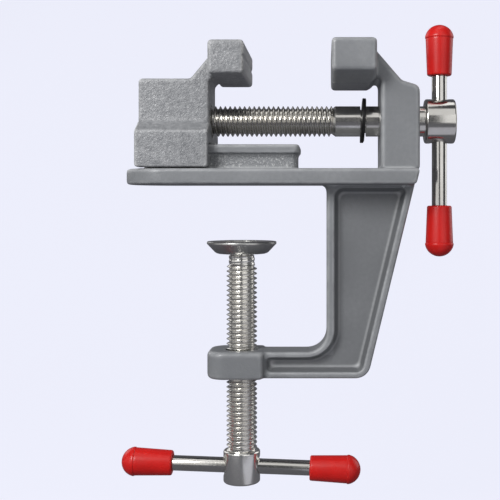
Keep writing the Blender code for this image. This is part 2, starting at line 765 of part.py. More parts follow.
def cap_profile(span):
    """A push-on cap with a domed end, a small shoulder, a tapered body and a blind bore."""
    top = span / 2
    mouth = top - CAP_LONG
    shoulder = CAP_SHOULDER_DIA / 2
    rim = CAP_MOUTH_DIA / 2
    bore = BAR_DIA / 2 + CAP_GAP
    bore_end = top - CAP_END_WALL
    drop = CAP_DOME
    sphere = (shoulder * shoulder + drop * drop) / (2 * drop)
    start = math.degrees(math.asin((sphere - drop) / sphere))
    profile = [(0, top)]
    dome = arc_points(sphere, 0, top - sphere, start, 90, DOME_STEPS)
    profile += reversed(dome[:-1])
    profile += [(shoulder, top - drop - CAP_STEP), (CAP_BODY_DIA / 2, top - drop - 2 * CAP_STEP)]
    lip = arc_points(CAP_MOUTH_ROUND, rim - CAP_MOUTH_ROUND, mouth + CAP_MOUTH_ROUND, -90, 0)
    profile += reversed(lip)
    profile += [(bore, mouth), (bore, bore_end), (0, bore_end)]
    return profile


def bar_and_caps(names, span, location, rotation, parent):
    bar_name, first_name, second_name = names
    turn_over = Matrix.Rotation(math.pi, 4, "X")
    bar = turned(bar_name, bar_profile(span), PARTS, PLATED, location, rotation, CAP_STEPS)
    bar.parent = parent
    for name, flip in ((first_name, False), (second_name, True)):
        cap = turned(name, cap_profile(span), PARTS, RED, steps=CAP_STEPS)
        cap.parent = bar
        if flip:
            cap.rotation_euler = turn_over.to_euler()
    return bar


bar_and_caps(
    ("jaw_bar", "jaw_bar_cap_top", "jaw_bar_cap_foot"),
    JAW_BAR_SPAN, (jaw_bar_x, 0, -JAW_BAR_DROP), (0, 0, 0), jaw_axis,
)

# Clamp screw, swivel pad and bar

clamp_axis = empty("clamp_screw_axis", (-CLAMP_REACH, 0, 0), PARTS, TABLE_EDGE)


def clamp_screw_profile():
    """Rivet head, pivot, stepped nose, threaded shank and head, from the top down."""
    pivot = PIVOT_DIA / 2
    crest = SCREW_DIA / 2
    head = CLAMP_HEAD_DIA / 2
    recess_floor = pad_face - PAD_RECESS_DEEP
    rivet_foot = recess_floor + RUN_GAP / 2
    rivet_top = rivet_foot + RIVET_HIGH
    nose_foot = nose_top - NOSE_LONG
    profile = [
        (0, rivet_top),
        (RIVET_DIA / 2 - RIVET_HIGH, rivet_top),
        (RIVET_DIA / 2, rivet_foot + RIVET_HIGH / 3),
        (RIVET_DIA / 2, rivet_foot),
        (pivot, rivet_foot),
        (pivot, nose_top),
        (NOSE_DIA / 2, nose_top),
        (NOSE_DIA / 2, nose_foot),
        (crest, nose_foot - (crest - NOSE_DIA / 2)),
        (crest, clamp_head_top),
    ]
    profile += reversed(arc_points(HEAD_ROUND, head - HEAD_ROUND, clamp_head_top - HEAD_ROUND, 0, 90))
    profile += reversed(arc_points(HEAD_ROUND, head - HEAD_ROUND, clamp_head_foot + HEAD_ROUND, -90, 0))
    profile += [(0, clamp_head_foot)]
    return profile


def pad_profile():
    """A dished pad: flat face with a sunk seat for the rivet head, bowl-shaped underside."""
    hole = PIVOT_DIA / 2 + RUN_GAP
    recess = PAD_RECESS_DIA / 2
    floor = pad_face - PAD_RECESS_DEEP
    rim = PAD_DIA / 2
    foot = PAD_FOOT_DIA / 2
    return [
        (recess, pad_face),
        (rim, pad_face),
        (rim, pad_face - PAD_RIM),
        (foot + PAD_FOOT_ROUND, pad_foot + PAD_FOOT_ROUND),
        (foot, pad_foot + PAD_FOOT_ROUND / 4),
        (foot - PAD_FOOT_ROUND, pad_foot),
        (hole, pad_foot),
        (hole, floor),
        (recess, floor),
    ]


clamp_screw = turned("clamp_screw", clamp_screw_profile(), PARTS, PLATED)
clamp_screw.parent = clamp_axis
combine(clamp_screw, rod(
    "clamp_bar_hole", BAR_HOLE_DIA / 2,
    (-CLAMP_REACH - CLAMP_HEAD_DIA, 0, clamp_bar_z), (-CLAMP_REACH + CLAMP_HEAD_DIA, 0, clamp_bar_z),
    steps=HOLE_STEPS,
), "DIFFERENCE")

swivel_pad = turned("swivel_pad", pad_profile(), PARTS, PLATED_PAD)
swivel_pad.parent = clamp_axis

bar_and_caps(
    ("clamp_bar", "clamp_bar_cap_right", "clamp_bar_cap_left"),
    CLAMP_BAR_SPAN, (CLAMP_BAR_SHIFT, 0, clamp_bar_z),
    (0, math.radians(90 + CLAMP_BAR_LEAN_DEG), 0), clamp_axis,
)
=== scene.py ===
# Clamp-on table vise, dressed: a smooth cast frame under grey paint, a rough cast moving jaw, plated
# screws and sliding bars with red caps, a snap ring and a swivel pad.

import json
import math

import bmesh
import bpy
import numpy as np
from mathutils import Euler, Matrix, Vector, noise

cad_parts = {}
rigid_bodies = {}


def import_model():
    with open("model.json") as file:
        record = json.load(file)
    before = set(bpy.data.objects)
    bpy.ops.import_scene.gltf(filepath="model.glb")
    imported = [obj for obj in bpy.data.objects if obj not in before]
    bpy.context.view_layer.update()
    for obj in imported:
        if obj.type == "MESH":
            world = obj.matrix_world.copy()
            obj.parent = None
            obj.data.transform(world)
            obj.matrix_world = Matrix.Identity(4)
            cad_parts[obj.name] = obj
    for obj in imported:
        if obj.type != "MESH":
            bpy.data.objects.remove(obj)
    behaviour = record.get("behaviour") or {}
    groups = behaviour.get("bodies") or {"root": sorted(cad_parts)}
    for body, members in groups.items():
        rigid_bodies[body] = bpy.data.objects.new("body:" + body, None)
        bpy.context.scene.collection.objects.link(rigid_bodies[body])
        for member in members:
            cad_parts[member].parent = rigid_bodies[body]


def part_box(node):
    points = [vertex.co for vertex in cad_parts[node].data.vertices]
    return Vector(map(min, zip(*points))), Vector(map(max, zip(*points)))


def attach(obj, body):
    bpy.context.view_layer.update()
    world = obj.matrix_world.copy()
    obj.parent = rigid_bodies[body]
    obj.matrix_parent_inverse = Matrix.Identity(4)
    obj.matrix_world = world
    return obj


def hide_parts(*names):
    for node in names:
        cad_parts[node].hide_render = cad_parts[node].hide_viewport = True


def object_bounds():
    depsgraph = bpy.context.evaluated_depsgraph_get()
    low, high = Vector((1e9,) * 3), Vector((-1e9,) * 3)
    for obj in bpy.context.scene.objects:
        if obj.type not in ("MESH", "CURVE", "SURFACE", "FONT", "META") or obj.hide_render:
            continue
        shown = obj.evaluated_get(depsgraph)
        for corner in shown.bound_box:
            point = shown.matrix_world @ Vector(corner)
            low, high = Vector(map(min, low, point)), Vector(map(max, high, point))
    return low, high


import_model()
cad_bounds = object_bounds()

# Camera. It looks level along +Y at the screws' plane, so uprights stay upright, and its frame is
# shifted towards the moving jaw and up, as the photograph was cropped.
MM = 0.001
CAMERA_AWAY = 246.0 * MM
CAMERA_RIGHT = 21.61 * MM
CAMERA_UNDER = 4.67 * MM
FOCAL_SHARE = 1.8942  # focal length over the frame's width
SENSOR = 36.0
SHIFT_SHARES = (-0.150, -0.094)

camera_data = bpy.data.cameras.new("camera")
camera_data.sensor_width = SENSOR
camera_data.lens = FOCAL_SHARE * SENSOR
camera_data.shift_x, camera_data.shift_y = SHIFT_SHARES
camera = bpy.data.objects.new("camera", camera_data)
camera.location = (CAMERA_RIGHT, -CAMERA_AWAY, -CAMERA_UNDER)
camera.rotation_euler = (math.radians(90), 0, 0)
bpy.context.scene.collection.objects.link(camera)
bpy.context.scene.camera = camera
bpy.context.scene.view_settings.view_transform = "Standard"


# Floor and backdrop: one pale paper sheet that sweeps up behind the vise. The camera sees it evenly
# bright. It throws less light than it shows, as a sheet further off would, and the plated steel mirrors
# it dark, but for a painted reflection: a pale patch in front that glows only in mirror images.
PALE = (0.838, 0.850, 0.960, 1.0)
FLOOR_DROP = 26.0 * MM  # keeps the clamp screw's full travel above the sheet
SWEEP_WIDE = 2.4
SWEEP_FRONT = 1.0
SWEEP_BACK = 0.6
SWEEP_ROUND = 0.35
SWEEP_HIGH = 1.6
SWEEP_STEPS = 12
FLOOR_GLOW = 0.93  # share of its shade that is the same in light and in shadow
FLOOR_SHOW = 1.045  # its strength to the camera
FLOOR_THROW = 0.10  # on the vise
FLOOR_SHINE = 0.10  # in a mirror image
# painted reflection: the glow of a pale patch in front, seen only in mirror images
REFLECTION_PATCH_SHINE = 0.55  # in a mirror image, where the card lies
REFLECTION_PATCH_BLUR = 9.0 * MM
REFLECTION_PATCH = {"left": 30.0 * MM, "right": 350.0 * MM, "near": -35.0 * MM, "far": -165.0 * MM}


def arc(radius, centre_x, centre_y, start_deg, end_deg, steps=6):
    """Points along an arc, with both its ends."""
    points = []
    for k in range(steps + 1):
        angle = math.radians(start_deg + (end_deg - start_deg) * k / steps)
        points.append((centre_x + radius * math.cos(angle), centre_y + radius * math.sin(angle)))
    return points


def add_node(tree, kind, **settings):
    node = tree.nodes.new("ShaderNode" + kind)
    for name, value in settings.items():
        setattr(node, name, value)
    return node


def feed(tree, value, socket):
    """Sets a socket to a plain value, or links it to what another node puts out."""
    if isinstance(value, (int, float, tuple)):
        socket.default_value = value
    elif value is not None:
        tree.links.new(value, socket)


def feed_named(tree, node, **values):
    """Feeds a node's sockets by name; an underscore stands for a space."""
    for name, value in values.items():
        feed(tree, value, node.inputs[name.replace("_", " ")])


def math_node(tree, operation, *values):
    node = add_node(tree, "Math", operation=operation)
    for value, socket in zip(values, node.inputs):
        feed(tree, value, socket)
    return node.outputs["Value"]


def product(tree, first, *others):
    for other in others:
        first = math_node(tree, "MULTIPLY", first, other)
    return first


def map_node(tree, value, from_low, from_high, to_low=0.0, to_high=1.0):
    node = add_node(tree, "MapRange")
    feed_named(
        tree, node,
        Value=value, From_Min=from_low, From_Max=from_high, To_Min=to_low, To_Max=to_high,
    )
    return node.outputs["Result"]


def spread(tree, share, low, high):
    """A share from 0 to 1, spread over a range."""
    return map_node(tree, share, 0.0, 1.0, low, high)


def within(tree, value, low, high, blur):
    """1 where a value lies between low and high, fading over blur."""
    above = map_node(tree, value, low - blur, low)
    below = map_node(tree, value, high, high + blur, 1.0, 0.0)
    return product(tree, above, below)


def place_on(tree):
    """Where a point lies on the object: X, Y and Z, in metres."""
    spot = add_node(tree, "SeparateXYZ")
    feed_named(tree, spot, Vector=add_node(tree, "TexCoord").outputs["Object"])
    return [spot.outputs[axis] for axis in "XYZ"]


def sweep_profile():
    floor = cad_bounds[0].z - FLOOR_DROP
    bend = arc(SWEEP_ROUND, SWEEP_BACK - SWEEP_ROUND, floor + SWEEP_ROUND, -90, 0, SWEEP_STEPS)
    return [(-SWEEP_FRONT, floor)] + bend + [(SWEEP_BACK, floor + SWEEP_HIGH)]


sweep_mesh = bpy.data.meshes.new("backdrop")
sweep = bmesh.new()
rows = [
    [sweep.verts.new((x, y, z)) for x in (-SWEEP_WIDE / 2, SWEEP_WIDE / 2)] for y, z in sweep_profile()
]
for low, high in zip(rows, rows[1:]):
    sweep.faces.new((low[0], low[1], high[1], high[0])).smooth = True
sweep.to_mesh(sweep_mesh)
sweep.free()
backdrop = bpy.data.objects.new("backdrop", sweep_mesh)
bpy.context.scene.collection.objects.link(backdrop)

paper = bpy.data.materials.new("backdrop paper")
paper.use_nodes = True
tree = paper.node_tree
tree.nodes.clear()
x, y, _ = place_on(tree)
# painted reflection: where the sheet glows brighter, for mirror images only
painted_reflection_patch = product(
    tree,
    within(tree, x, REFLECTION_PATCH["left"], REFLECTION_PATCH["right"], REFLECTION_PATCH_BLUR),
    within(tree, y, REFLECTION_PATCH["far"], REFLECTION_PATCH["near"], REFLECTION_PATCH_BLUR),
)
path = add_node(tree, "LightPath").outputs
strength = spread(tree, path["Is Glossy Ray"], FLOOR_SHOW, spread(tree, painted_reflection_patch, FLOOR_SHINE, REFLECTION_PATCH_SHINE))
strength = spread(tree, path["Is Diffuse Ray"], strength, FLOOR_THROW)
glow = add_node(tree, "Emission")
feed_named(tree, glow, Color=PALE, Strength=strength)
lit = add_node(tree, "BsdfDiffuse")
feed_named(tree, lit, Color=PALE)
blend = add_node(tree, "MixShader")
for value, socket in zip((FLOOR_GLOW, lit.outputs["BSDF"], glow.outputs["Emission"]), blend.inputs):
    feed(tree, value, socket)
feed_named(tree, add_node(tree, "OutputMaterial"), Surface=blend.outputs["Shader"])
sweep_mesh.materials.append(paper)


# Studio light: a small key up to the left, a large box on either side of the camera, whose mirror
# images are the pale bands on the plated steel, a dim strip far left, one light in front, one above and
# two behind the vise. The room between them is dark, and leaves the dark bands.
ROOM_GREY = (0.070, 0.072, 0.078, 1.0)
ROOM_STRENGTH = 1.0
SOFT_BOXES = {
    "key light": {"at": (-0.16, -0.27, 0.16), "size": (0.12, 0.14), "power": 0.86},
    "left box": {"at": (-0.32, -0.44, 0.03), "size": (0.54, 0.56), "power": 0.74},
    "left strip": {"at": (-0.50, -0.08, -0.02), "size": (0.24, 0.50), "power": 0.20},
    "right box": {"at": (0.31, -0.46, 0.02), "size": (0.46, 0.56), "power": 0.74},
    "front box": {"at": (0.02, -0.32, 0.34), "size": (0.50, 0.30), "power": 0.36},
    "top light": {"at": (0.02, -0.02, 0.50), "size": (0.50, 0.16), "power": 0.30},
    "back left": {"at": (-0.42, 0.38, 0.22), "size": (0.40, 0.40), "power": 0.50},
    "back right": {"at": (0.52, 0.26, 0.14), "size": (0.40, 0.40), "power": 0.60},
}
LIGHT_AIM = Vector((0.0, 0.0, -0.01))
MIX_SOCKETS = (0, 6, 7)  # the share and the two colours of a colour mix
MIX_RESULT = 2


def mix_colour(tree, share, first, second):
    node = add_node(tree, "Mix", data_type="RGBA")
    for value, index in zip((share, first, second), MIX_SOCKETS):
        feed(tree, value, node.inputs[index])
    return node.outputs[MIX_RESULT]


world = bpy.data.worlds.new("studio")
world.use_nodes = True
tree = world.node_tree
seen = add_node(tree, "LightPath").outputs["Is Camera Ray"]
feed_named(
    tree, tree.nodes["Background"],
    Color=mix_colour(tree, seen, ROOM_GREY, PALE), Strength=ROOM_STRENGTH,
)
bpy.context.scene.world = world

for light_name, box in SOFT_BOXES.items():
    light_data = bpy.data.lights.new(light_name, "AREA")
    light_data.shape = "RECTANGLE"
    light_data.size, light_data.size_y = box["size"]
    light_data.energy = box["power"]
    light = bpy.data.objects.new(light_name, light_data)
    light.location = box["at"]
    light.rotation_euler = (LIGHT_AIM - light.location).to_track_quat("-Z", "Y").to_euler()
    bpy.context.scene.collection.objects.link(light)


# Frame: one zinc casting under semi-gloss grey paint. The base plate, T rail, necked fixed jaw, C arm
# with a web between rims, and the boss are cast together, so every inner corner has a small fillet.
EDGE_ROUND = 0.7 * MM
SOFT_ROUND = 0.9 * MM
PASS = 1.5 * MM  # how far joined shapes sink into one another and cuts pass a face
ARC_DEG = 4.0
frame_low, frame_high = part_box("frame")
clamp_low, clamp_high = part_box("clamp_screw")
jaw_screw_low, jaw_screw_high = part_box("jaw_screw")
CLAMP_X = (clamp_low.x + clamp_high.x) / 2
SCREW_Z = (jaw_screw_low.z + jaw_screw_high.z) / 2
EDGE_X = CLAMP_X + 22.0 * MM  # the table's edge, at the arm's inner side
BASE_THICK = 4.0 * MM
BASE_WIDE = 24.6 * MM
BASE_LEFT = frame_low.x
BASE_END_ROUND = 10.5 * MM
BASE_TUCK = 0.2 * MM
RAIL_RIGHT = EDGE_X - 6.8 * MM
RAIL_LONG = 40.0 * MM
STEM_WIDE = 12.6 * MM
STEM_HIGH = 3.9 * MM
STEM_INSET = 0.6 * MM
LIP_WIDE = 16.6 * MM
LIP_THICK = 2.25 * MM
LIP_EDGE_ROUND = 0.49 * MM
RAIL_ROUND = 1.6 * MM
UPRIGHT_LEFT = EDGE_X + 13.7 * MM
UPRIGHT_RIGHT = UPRIGHT_LEFT + 9.9 * MM
UPRIGHT_WIDE = 15.6 * MM
JAW_TOP = frame_high.z
JAW_WIDE = frame_high.y - frame_low.y
JAW_HIGH = 7.8 * MM
JAW_FACE = EDGE_X + 1.2 * MM
JAW_DEEP = 11.2 * MM
KEEL_DROP = 2.8 * MM
KEEL_CHAMFER = 1.5 * MM
NECK_DROP = 1.9 * MM
SHOULDER_DROP = 9.6 * MM
SHOULDER_RUN = 6.6 * MM
SHOULDER_FALL = 1.4 * MM
SHOULDER_ROUND = 1.8 * MM
NECK_FILLET = 1.1 * MM
ARM_DROP = 42.6 * MM
ARM_HIGH = 6.8 * MM
ARM_WIDE = 10.4 * MM
ARM_TOP_DEEP = 22.5 * MM
ARM_FOOT_DEEP = 10.5 * MM
ARM_INNER_ROUND = 5.1 * MM
ARM_OUTER_ROUND = 3.9 * MM
SEAT_FILLET = 1.6 * MM
WEB_THICK = 4.4 * MM
RIM_INNER = 1.9 * MM
RIM_OUTER = 1.7 * MM
RIM_UNDER = 1.5 * MM
RIM_OVER = 1.3 * MM
RIM_TOP = 0.7 * MM
RIM_END = 0.4 * MM
POCKET_ROUND = 2.4 * MM
POCKET_END_ROUND = 1.3 * MM
POCKET_DRAFT = 1.1 * MM  # how far the floor stands in from the rim
BOSS_LEFT = CLAMP_X - 8.6 * MM
BOSS_LONG = 14.7 * MM
BOSS_WIDE = 14.0 * MM
BOSS_END_ROUND = 4.4 * MM
BOSS_BACK_ROUND = 1.5 * MM
BOSS_EDGE_ROUND = 1.1 * MM
BORE_RADIUS = 4.2 * MM
BORE_STEPS = 96
COVE_STEPS = 12
CORNER_SHARE = 0.49  # of a side, the most that the arc at one corner takes
BEVEL_STEPS = 4
BEVEL_DEG = 50  # edges sharper than this are rounded
CAST_VOXEL = 0.34 * MM
CAST_FILL_PASSES = 3
CAST_SMOOTH_PASSES = 3
FILL_PULL = 0.8
SMOOTH_PULL = 0.5

ALONG_X = (math.radians(90), 0, math.radians(90))  # outline in Y and Z, thickness along X
ALONG_Y = (math.radians(90), 0, 0)  # outline in X and Z, thickness along Y
workshop = bpy.data.collections.new("workshop")
bpy.context.scene.collection.children.link(workshop)


def rounded(corners):
    """The outline through corners (x, y, radius), each corner turned into an arc."""
    points = []
    for i, (x, y, radius) in enumerate(corners):
        here = Vector((x, y))
        before = Vector(corners[i - 1][:2]) - here
        after = Vector(corners[(i + 1) % len(corners)][:2]) - here
        if radius <= 0:
            points.append(here)
            continue
        to_before = before.normalized()
        to_after = after.normalized()
        half = to_before.angle(to_after) / 2
        reach = min(radius / math.tan(half), CORNER_SHARE * min(before.length, after.length))
        radius = reach * math.tan(half)
        centre = here + (to_before + to_after).normalized() * (radius / math.sin(half))
        start = here + to_before * reach - centre
        sweep_angle = math.pi - 2 * half
        turn = 1 if to_before.cross(to_after) < 0 else -1
        steps = max(1, math.ceil(math.degrees(sweep_angle) / ARC_DEG))
        for k in range(steps + 1):
            points.append(centre + Matrix.Rotation(turn * sweep_angle * k / steps, 2) @ start)
    return points


def in_workshop(name, shape):
    """A bmesh as an object in the workshop, where blanks and cutters wait to be joined."""
    mesh = bpy.data.meshes.new(name)
    shape.to_mesh(mesh)
    shape.free()
    obj = bpy.data.objects.new(name, mesh)
    workshop.objects.link(obj)
    return obj


def round_edges(obj, width, steps=BEVEL_STEPS, angle=BEVEL_DEG):
    """Rounds every edge of the object that is sharper than the angle."""
    bevel = obj.modifiers.new("edges", "BEVEL")
    bevel.width = width
    bevel.segments = steps
    bevel.limit_method = "ANGLE"
    bevel.angle_limit = math.radians(angle)
    return obj


def slab(outline, thick, middle=(0, 0, 0), rotation=(0, 0, 0), round_by=0.0, **edges):
    """A flat outline given thickness about its middle plane, its sharp edges rounded, as an object."""
    shape = bmesh.new()
    under, over = [[shape.verts.new((x, y, z)) for x, y in outline] for z in (-thick / 2, thick / 2)]
    shape.faces.new(under[::-1])
    shape.faces.new(over)
    for i in range(len(outline)):
        shape.faces.new((under[i - 1], under[i], over[i], over[i - 1]))
    bmesh.ops.recalc_face_normals(shape, faces=shape.faces)
    obj = in_workshop("slab", shape)
    obj.matrix_world = Matrix.LocRotScale(Vector(middle), Euler(rotation), None)
    return round_edges(obj, round_by, **edges) if round_by else obj


def placed(obj, location, axis):
    """Turns an object made about Z to lie along axis, and moves it."""
    turn = Vector(axis).to_track_quat("Z", "Y")
    obj.matrix_world = Matrix.LocRotScale(Vector(location), turn, None)
    return obj


def cylinder(radius, start, end):
    start, end = Vector(start), Vector(end)
    shape = bmesh.new()
    bmesh.ops.create_cone(
        shape, cap_ends=True, segments=BORE_STEPS, radius1=radius, radius2=radius,
        depth=(end - start).length,
    )
    return placed(in_workshop("cylinder", shape), (start + end) / 2, end - start)


def settled(obj):
    """The object's mesh with its modifiers and place applied."""
    bpy.context.view_layer.update()
    seen = obj.evaluated_get(bpy.context.evaluated_depsgraph_get())
    mesh = bpy.data.meshes.new_from_object(seen)
    mesh.transform(obj.matrix_world)
    return mesh


def combine(obj, others, operation):
    for other in others:
        step = obj.modifiers.new(operation.lower(), "BOOLEAN")
        step.operation = operation
        step.object = other
        step.solver = "EXACT"
    return obj


def clear_workshop():
    for obj in list(workshop.objects):
        bpy.data.objects.remove(obj, do_unlink=True)


def new_piece(name, mesh, body, node, material):
    """A finished piece that stands for a CAD node and rides on its body."""
    mesh.name = name
    mesh.materials.clear()
    mesh.materials.append(material)
    piece = bpy.data.objects.new(name, mesh)
    bpy.context.scene.collection.objects.link(piece)
    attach(piece, body)
    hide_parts(node)
    return piece


def neighbour_mean(points, edges):
    total = np.zeros_like(points)
    count = np.bincount(edges.ravel(), minlength=len(points))
    for axis in range(3):
        total[:, axis] = np.bincount(edges[:, 0], points[edges[:, 1], axis], len(points))
        total[:, axis] += np.bincount(edges[:, 1], points[edges[:, 0], axis], len(points))
    return total / count[:, None]


def mesh_arrays(mesh):
    points = np.empty(len(mesh.vertices) * 3)
    mesh.vertices.foreach_get("co", points)
    edges = np.empty(len(mesh.edges) * 2, int)
    mesh.edges.foreach_get("vertices", edges)
    return points.reshape(-1, 3), edges.reshape(-1, 2)


def outward(mesh):
    normals = np.empty(len(mesh.vertices) * 3)
    mesh.vertices.foreach_get("normal", normals)
    return normals.reshape(-1, 3)


def put_back(mesh, points):
    mesh.vertices.foreach_set("co", points.ravel())
    mesh.update()


def cast_over(obj, voxel, fill_passes, smooth_passes):
    """The solid as it leaves the die: one skin, inner corners filled to fillets, outer edges kept."""
    remesh = obj.modifiers.new("skin", "REMESH")
    remesh.mode = "VOXEL"
    remesh.voxel_size = voxel
    remesh.use_smooth_shade = True
    mesh = settled(obj)
    points, edges = mesh_arrays(mesh)
    for _ in range(fill_passes):
        normals = outward(mesh)
        pull = neighbour_mean(points, edges) - points
        rise = np.einsum("ij,ij->i", pull, normals)
        points += np.where(rise[:, None] > 0, pull, 0) * FILL_PULL
        put_back(mesh, points)
    for _ in range(smooth_passes):
        points += (neighbour_mean(points, edges) - points) * SMOOTH_PULL
    put_back(mesh, points)
    mesh.shade_smooth()
    return mesh


ARM_SLOPE = (ARM_TOP_DEEP - ARM_FOOT_DEEP) / (ARM_DROP + ARM_HIGH)
ARM_FOOT = -ARM_DROP - ARM_HIGH


def arm_back(z):
    """X of the arm's sloping outer edge at height z."""
    return EDGE_X + ARM_TOP_DEEP + ARM_SLOPE * z


def oblong(left, right, wide, left_round, right_round):
    """The outline of a bar about the middle plane, with its corners rounded."""
    half = wide / 2
    return rounded([
        (left, -half, left_round), (right, -half, right_round),
        (right, half, right_round), (left, half, left_round),
    ])


def upright_corners():
    back = JAW_FACE + JAW_DEEP
    sunk = BASE_THICK - PASS / 2
    under = JAW_TOP - JAW_HIGH - KEEL_DROP / 2
    return [
        (UPRIGHT_LEFT, sunk, 0),
        (arm_back(sunk) - PASS / 2, sunk, 0),
        (arm_back(BASE_THICK), BASE_THICK, 0),
        (UPRIGHT_RIGHT, BASE_THICK + EDGE_ROUND, 0),
        (UPRIGHT_RIGHT, JAW_TOP - SHOULDER_DROP - SHOULDER_FALL, SHOULDER_ROUND),
        (back + SHOULDER_RUN, JAW_TOP - SHOULDER_DROP, SOFT_ROUND),
        (back, JAW_TOP - NECK_DROP, 0),
        (back - PASS, JAW_TOP - NECK_DROP, 0),
        (back - PASS, under, 0),
        (UPRIGHT_LEFT, under, NECK_FILLET),
    ]


def fixed_jaw_corners():
    flank = JAW_TOP - JAW_HIGH
    return [
        (-JAW_WIDE / 2, flank, 0),
        (-UPRIGHT_WIDE / 2, flank - KEEL_DROP, 0),
        (UPRIGHT_WIDE / 2, flank - KEEL_DROP, 0),
        (JAW_WIDE / 2, flank, 0),
        (JAW_WIDE / 2, JAW_TOP, 0),
        (-JAW_WIDE / 2, JAW_TOP, 0),
    ]


def arm_corners():
    sunk = BASE_THICK - EDGE_ROUND
    return [
        (EDGE_X, sunk, 0),
        (EDGE_X, -ARM_DROP, ARM_INNER_ROUND),
        (CLAMP_X, -ARM_DROP, 0),
        (CLAMP_X, ARM_FOOT, 0),
        (arm_back(ARM_FOOT), ARM_FOOT, ARM_OUTER_ROUND),
        (arm_back(sunk), sunk, 0),
    ]


def pocket_corners(inset):
    """The recess in the arm's side: at its rim with no inset, at its floor with the draft as inset."""
    left = BOSS_LEFT + BOSS_LONG + RIM_END + inset
    top = -RIM_TOP - inset
    over = -ARM_DROP - RIM_OVER - inset
    under = ARM_FOOT + RIM_UNDER + inset
    inner = EDGE_X + RIM_INNER + inset
    outer = RIM_OUTER + inset
    end_round = POCKET_END_ROUND - inset / 2
    outer_round = max(ARM_OUTER_ROUND - outer, end_round)
    return [
        (inner, top, POCKET_ROUND - inset / 2),
        (inner, over, ARM_INNER_ROUND + RIM_INNER + inset),
        (left, over, end_round),
        (left, under, end_round),
        (arm_back(under) - outer, under, outer_round),
        (arm_back(top) - outer, top, end_round),
    ]


def pocket_cutter(side):
    """A plug with drafted walls, from the web out past the side of the arm."""
    rim = rounded(pocket_corners(0))
    rings = (
        (rounded(pocket_corners(POCKET_DRAFT)), WEB_THICK / 2), (rim, ARM_WIDE / 2),
        (rim, ARM_WIDE / 2 + PASS),
    )
    plug = bmesh.new()
    made = [[plug.verts.new((x, side * y, z)) for x, z in outline] for outline, y in rings]
    for low, high in zip(made, made[1:]):
        for k in range(len(rim)):
            plug.faces.new((low[k - 1], low[k], high[k], high[k - 1]))
    plug.faces.new(made[0])
    plug.faces.new(made[-1])
    bmesh.ops.recalc_face_normals(plug, faces=plug.faces)
    return in_workshop("pocket", plug)


def seat_fillet():
    """The cove where the arm meets the seat, as an outline with a hollow corner."""
    left, right = EDGE_X - SEAT_FILLET, EDGE_X + EDGE_ROUND
    cove = arc(SEAT_FILLET, left, -SEAT_FILLET, 0, 90, COVE_STEPS)
    return cove + [(left, EDGE_ROUND), (right, EDGE_ROUND), (right, -SEAT_FILLET)]


base_right = arm_back(BASE_THICK) - BASE_TUCK + PASS
base = slab(
    oblong(BASE_LEFT, base_right, BASE_WIDE, BASE_END_ROUND, 0), BASE_THICK, (0, 0, BASE_THICK / 2)
)
end_cut = slab(
    [
        (arm_back(-PASS) - BASE_TUCK, -PASS),
        (arm_back(-PASS) + UPRIGHT_WIDE, -PASS),
        (arm_back(-PASS) + UPRIGHT_WIDE, BASE_THICK + PASS),
        (arm_back(BASE_THICK + PASS) - BASE_TUCK, BASE_THICK + PASS),
    ],
    BASE_WIDE + 2 * PASS, rotation=ALONG_Y,
)
combine(base, [end_cut], "DIFFERENCE")
round_edges(base, EDGE_ROUND)

jaw_middle = (JAW_FACE + JAW_DEEP / 2, 0, 0)
rail_left = RAIL_RIGHT - RAIL_LONG
stem_outline = oblong(
    rail_left + STEM_INSET, RAIL_RIGHT - STEM_INSET, STEM_WIDE, RAIL_ROUND, RAIL_ROUND
)
lip_outline = oblong(rail_left, RAIL_RIGHT, LIP_WIDE, RAIL_ROUND, RAIL_ROUND)
boss_outline = oblong(
    BOSS_LEFT, BOSS_LEFT + BOSS_LONG, BOSS_WIDE, BOSS_END_ROUND, BOSS_BACK_ROUND
)
combine(base, [
    slab(rounded(upright_corners()), UPRIGHT_WIDE, rotation=ALONG_Y, round_by=SOFT_ROUND),
    slab(rounded(fixed_jaw_corners()), JAW_DEEP, jaw_middle, ALONG_X, SOFT_ROUND),
    slab(stem_outline, STEM_HIGH + 2 * PASS, (0, 0, BASE_THICK + STEM_HIGH / 2)),
    slab(
        lip_outline, LIP_THICK, (0, 0, BASE_THICK + STEM_HIGH + LIP_THICK / 2), round_by=LIP_EDGE_ROUND,
    ),
    slab(rounded(arm_corners()), ARM_WIDE, rotation=ALONG_Y, round_by=EDGE_ROUND),
    slab(seat_fillet(), ARM_WIDE - EDGE_ROUND, rotation=ALONG_Y),
    slab(
        boss_outline, ARM_HIGH + EDGE_ROUND / 2, (0, 0, -ARM_DROP - ARM_HIGH / 2),
        round_by=BOSS_EDGE_ROUND,
    ),
], "UNION")
combine(base, [pocket_cutter(-1), pocket_cutter(1)], "DIFFERENCE")
keel_z = JAW_TOP - JAW_HIGH - KEEL_DROP
keel_right = JAW_FACE + JAW_DEEP
keel_cut = slab(
    [
        (keel_right - KEEL_CHAMFER, keel_z - PASS),
        (keel_right + EDGE_ROUND / 2, keel_z - PASS),
        (keel_right + EDGE_ROUND / 2, keel_z + KEEL_CHAMFER),
        (keel_right - KEEL_CHAMFER, keel_z),
    ],
    UPRIGHT_WIDE + 2 * PASS, rotation=ALONG_Y,
)
combine(base, [
    keel_cut,
    cylinder(BORE_RADIUS, (UPRIGHT_LEFT - PASS, 0, SCREW_Z), (UPRIGHT_RIGHT + PASS, 0, SCREW_Z)),
    cylinder(BORE_RADIUS, (CLAMP_X, 0, -ARM_DROP + PASS), (CLAMP_X, 0, ARM_FOOT - PASS)),
], "DIFFERENCE")
frame_mesh = cast_over(base, CAST_VOXEL, CAST_FILL_PASSES, CAST_SMOOTH_PASSES)
clear_workshop()


SKIN_DETAIL = 3.0
SKIN_ROUGH = 0.55
CLOUD_DETAIL = 4.0
CLOUD_RANGE = (0.3, 0.7)
PATCH_RANGE = (0.35, 0.6)
PATCH_LOW = 0.45
HOLLOW_RANGE = (0.488, 0.455)  # pointiness, which falls below a half in an inner corner


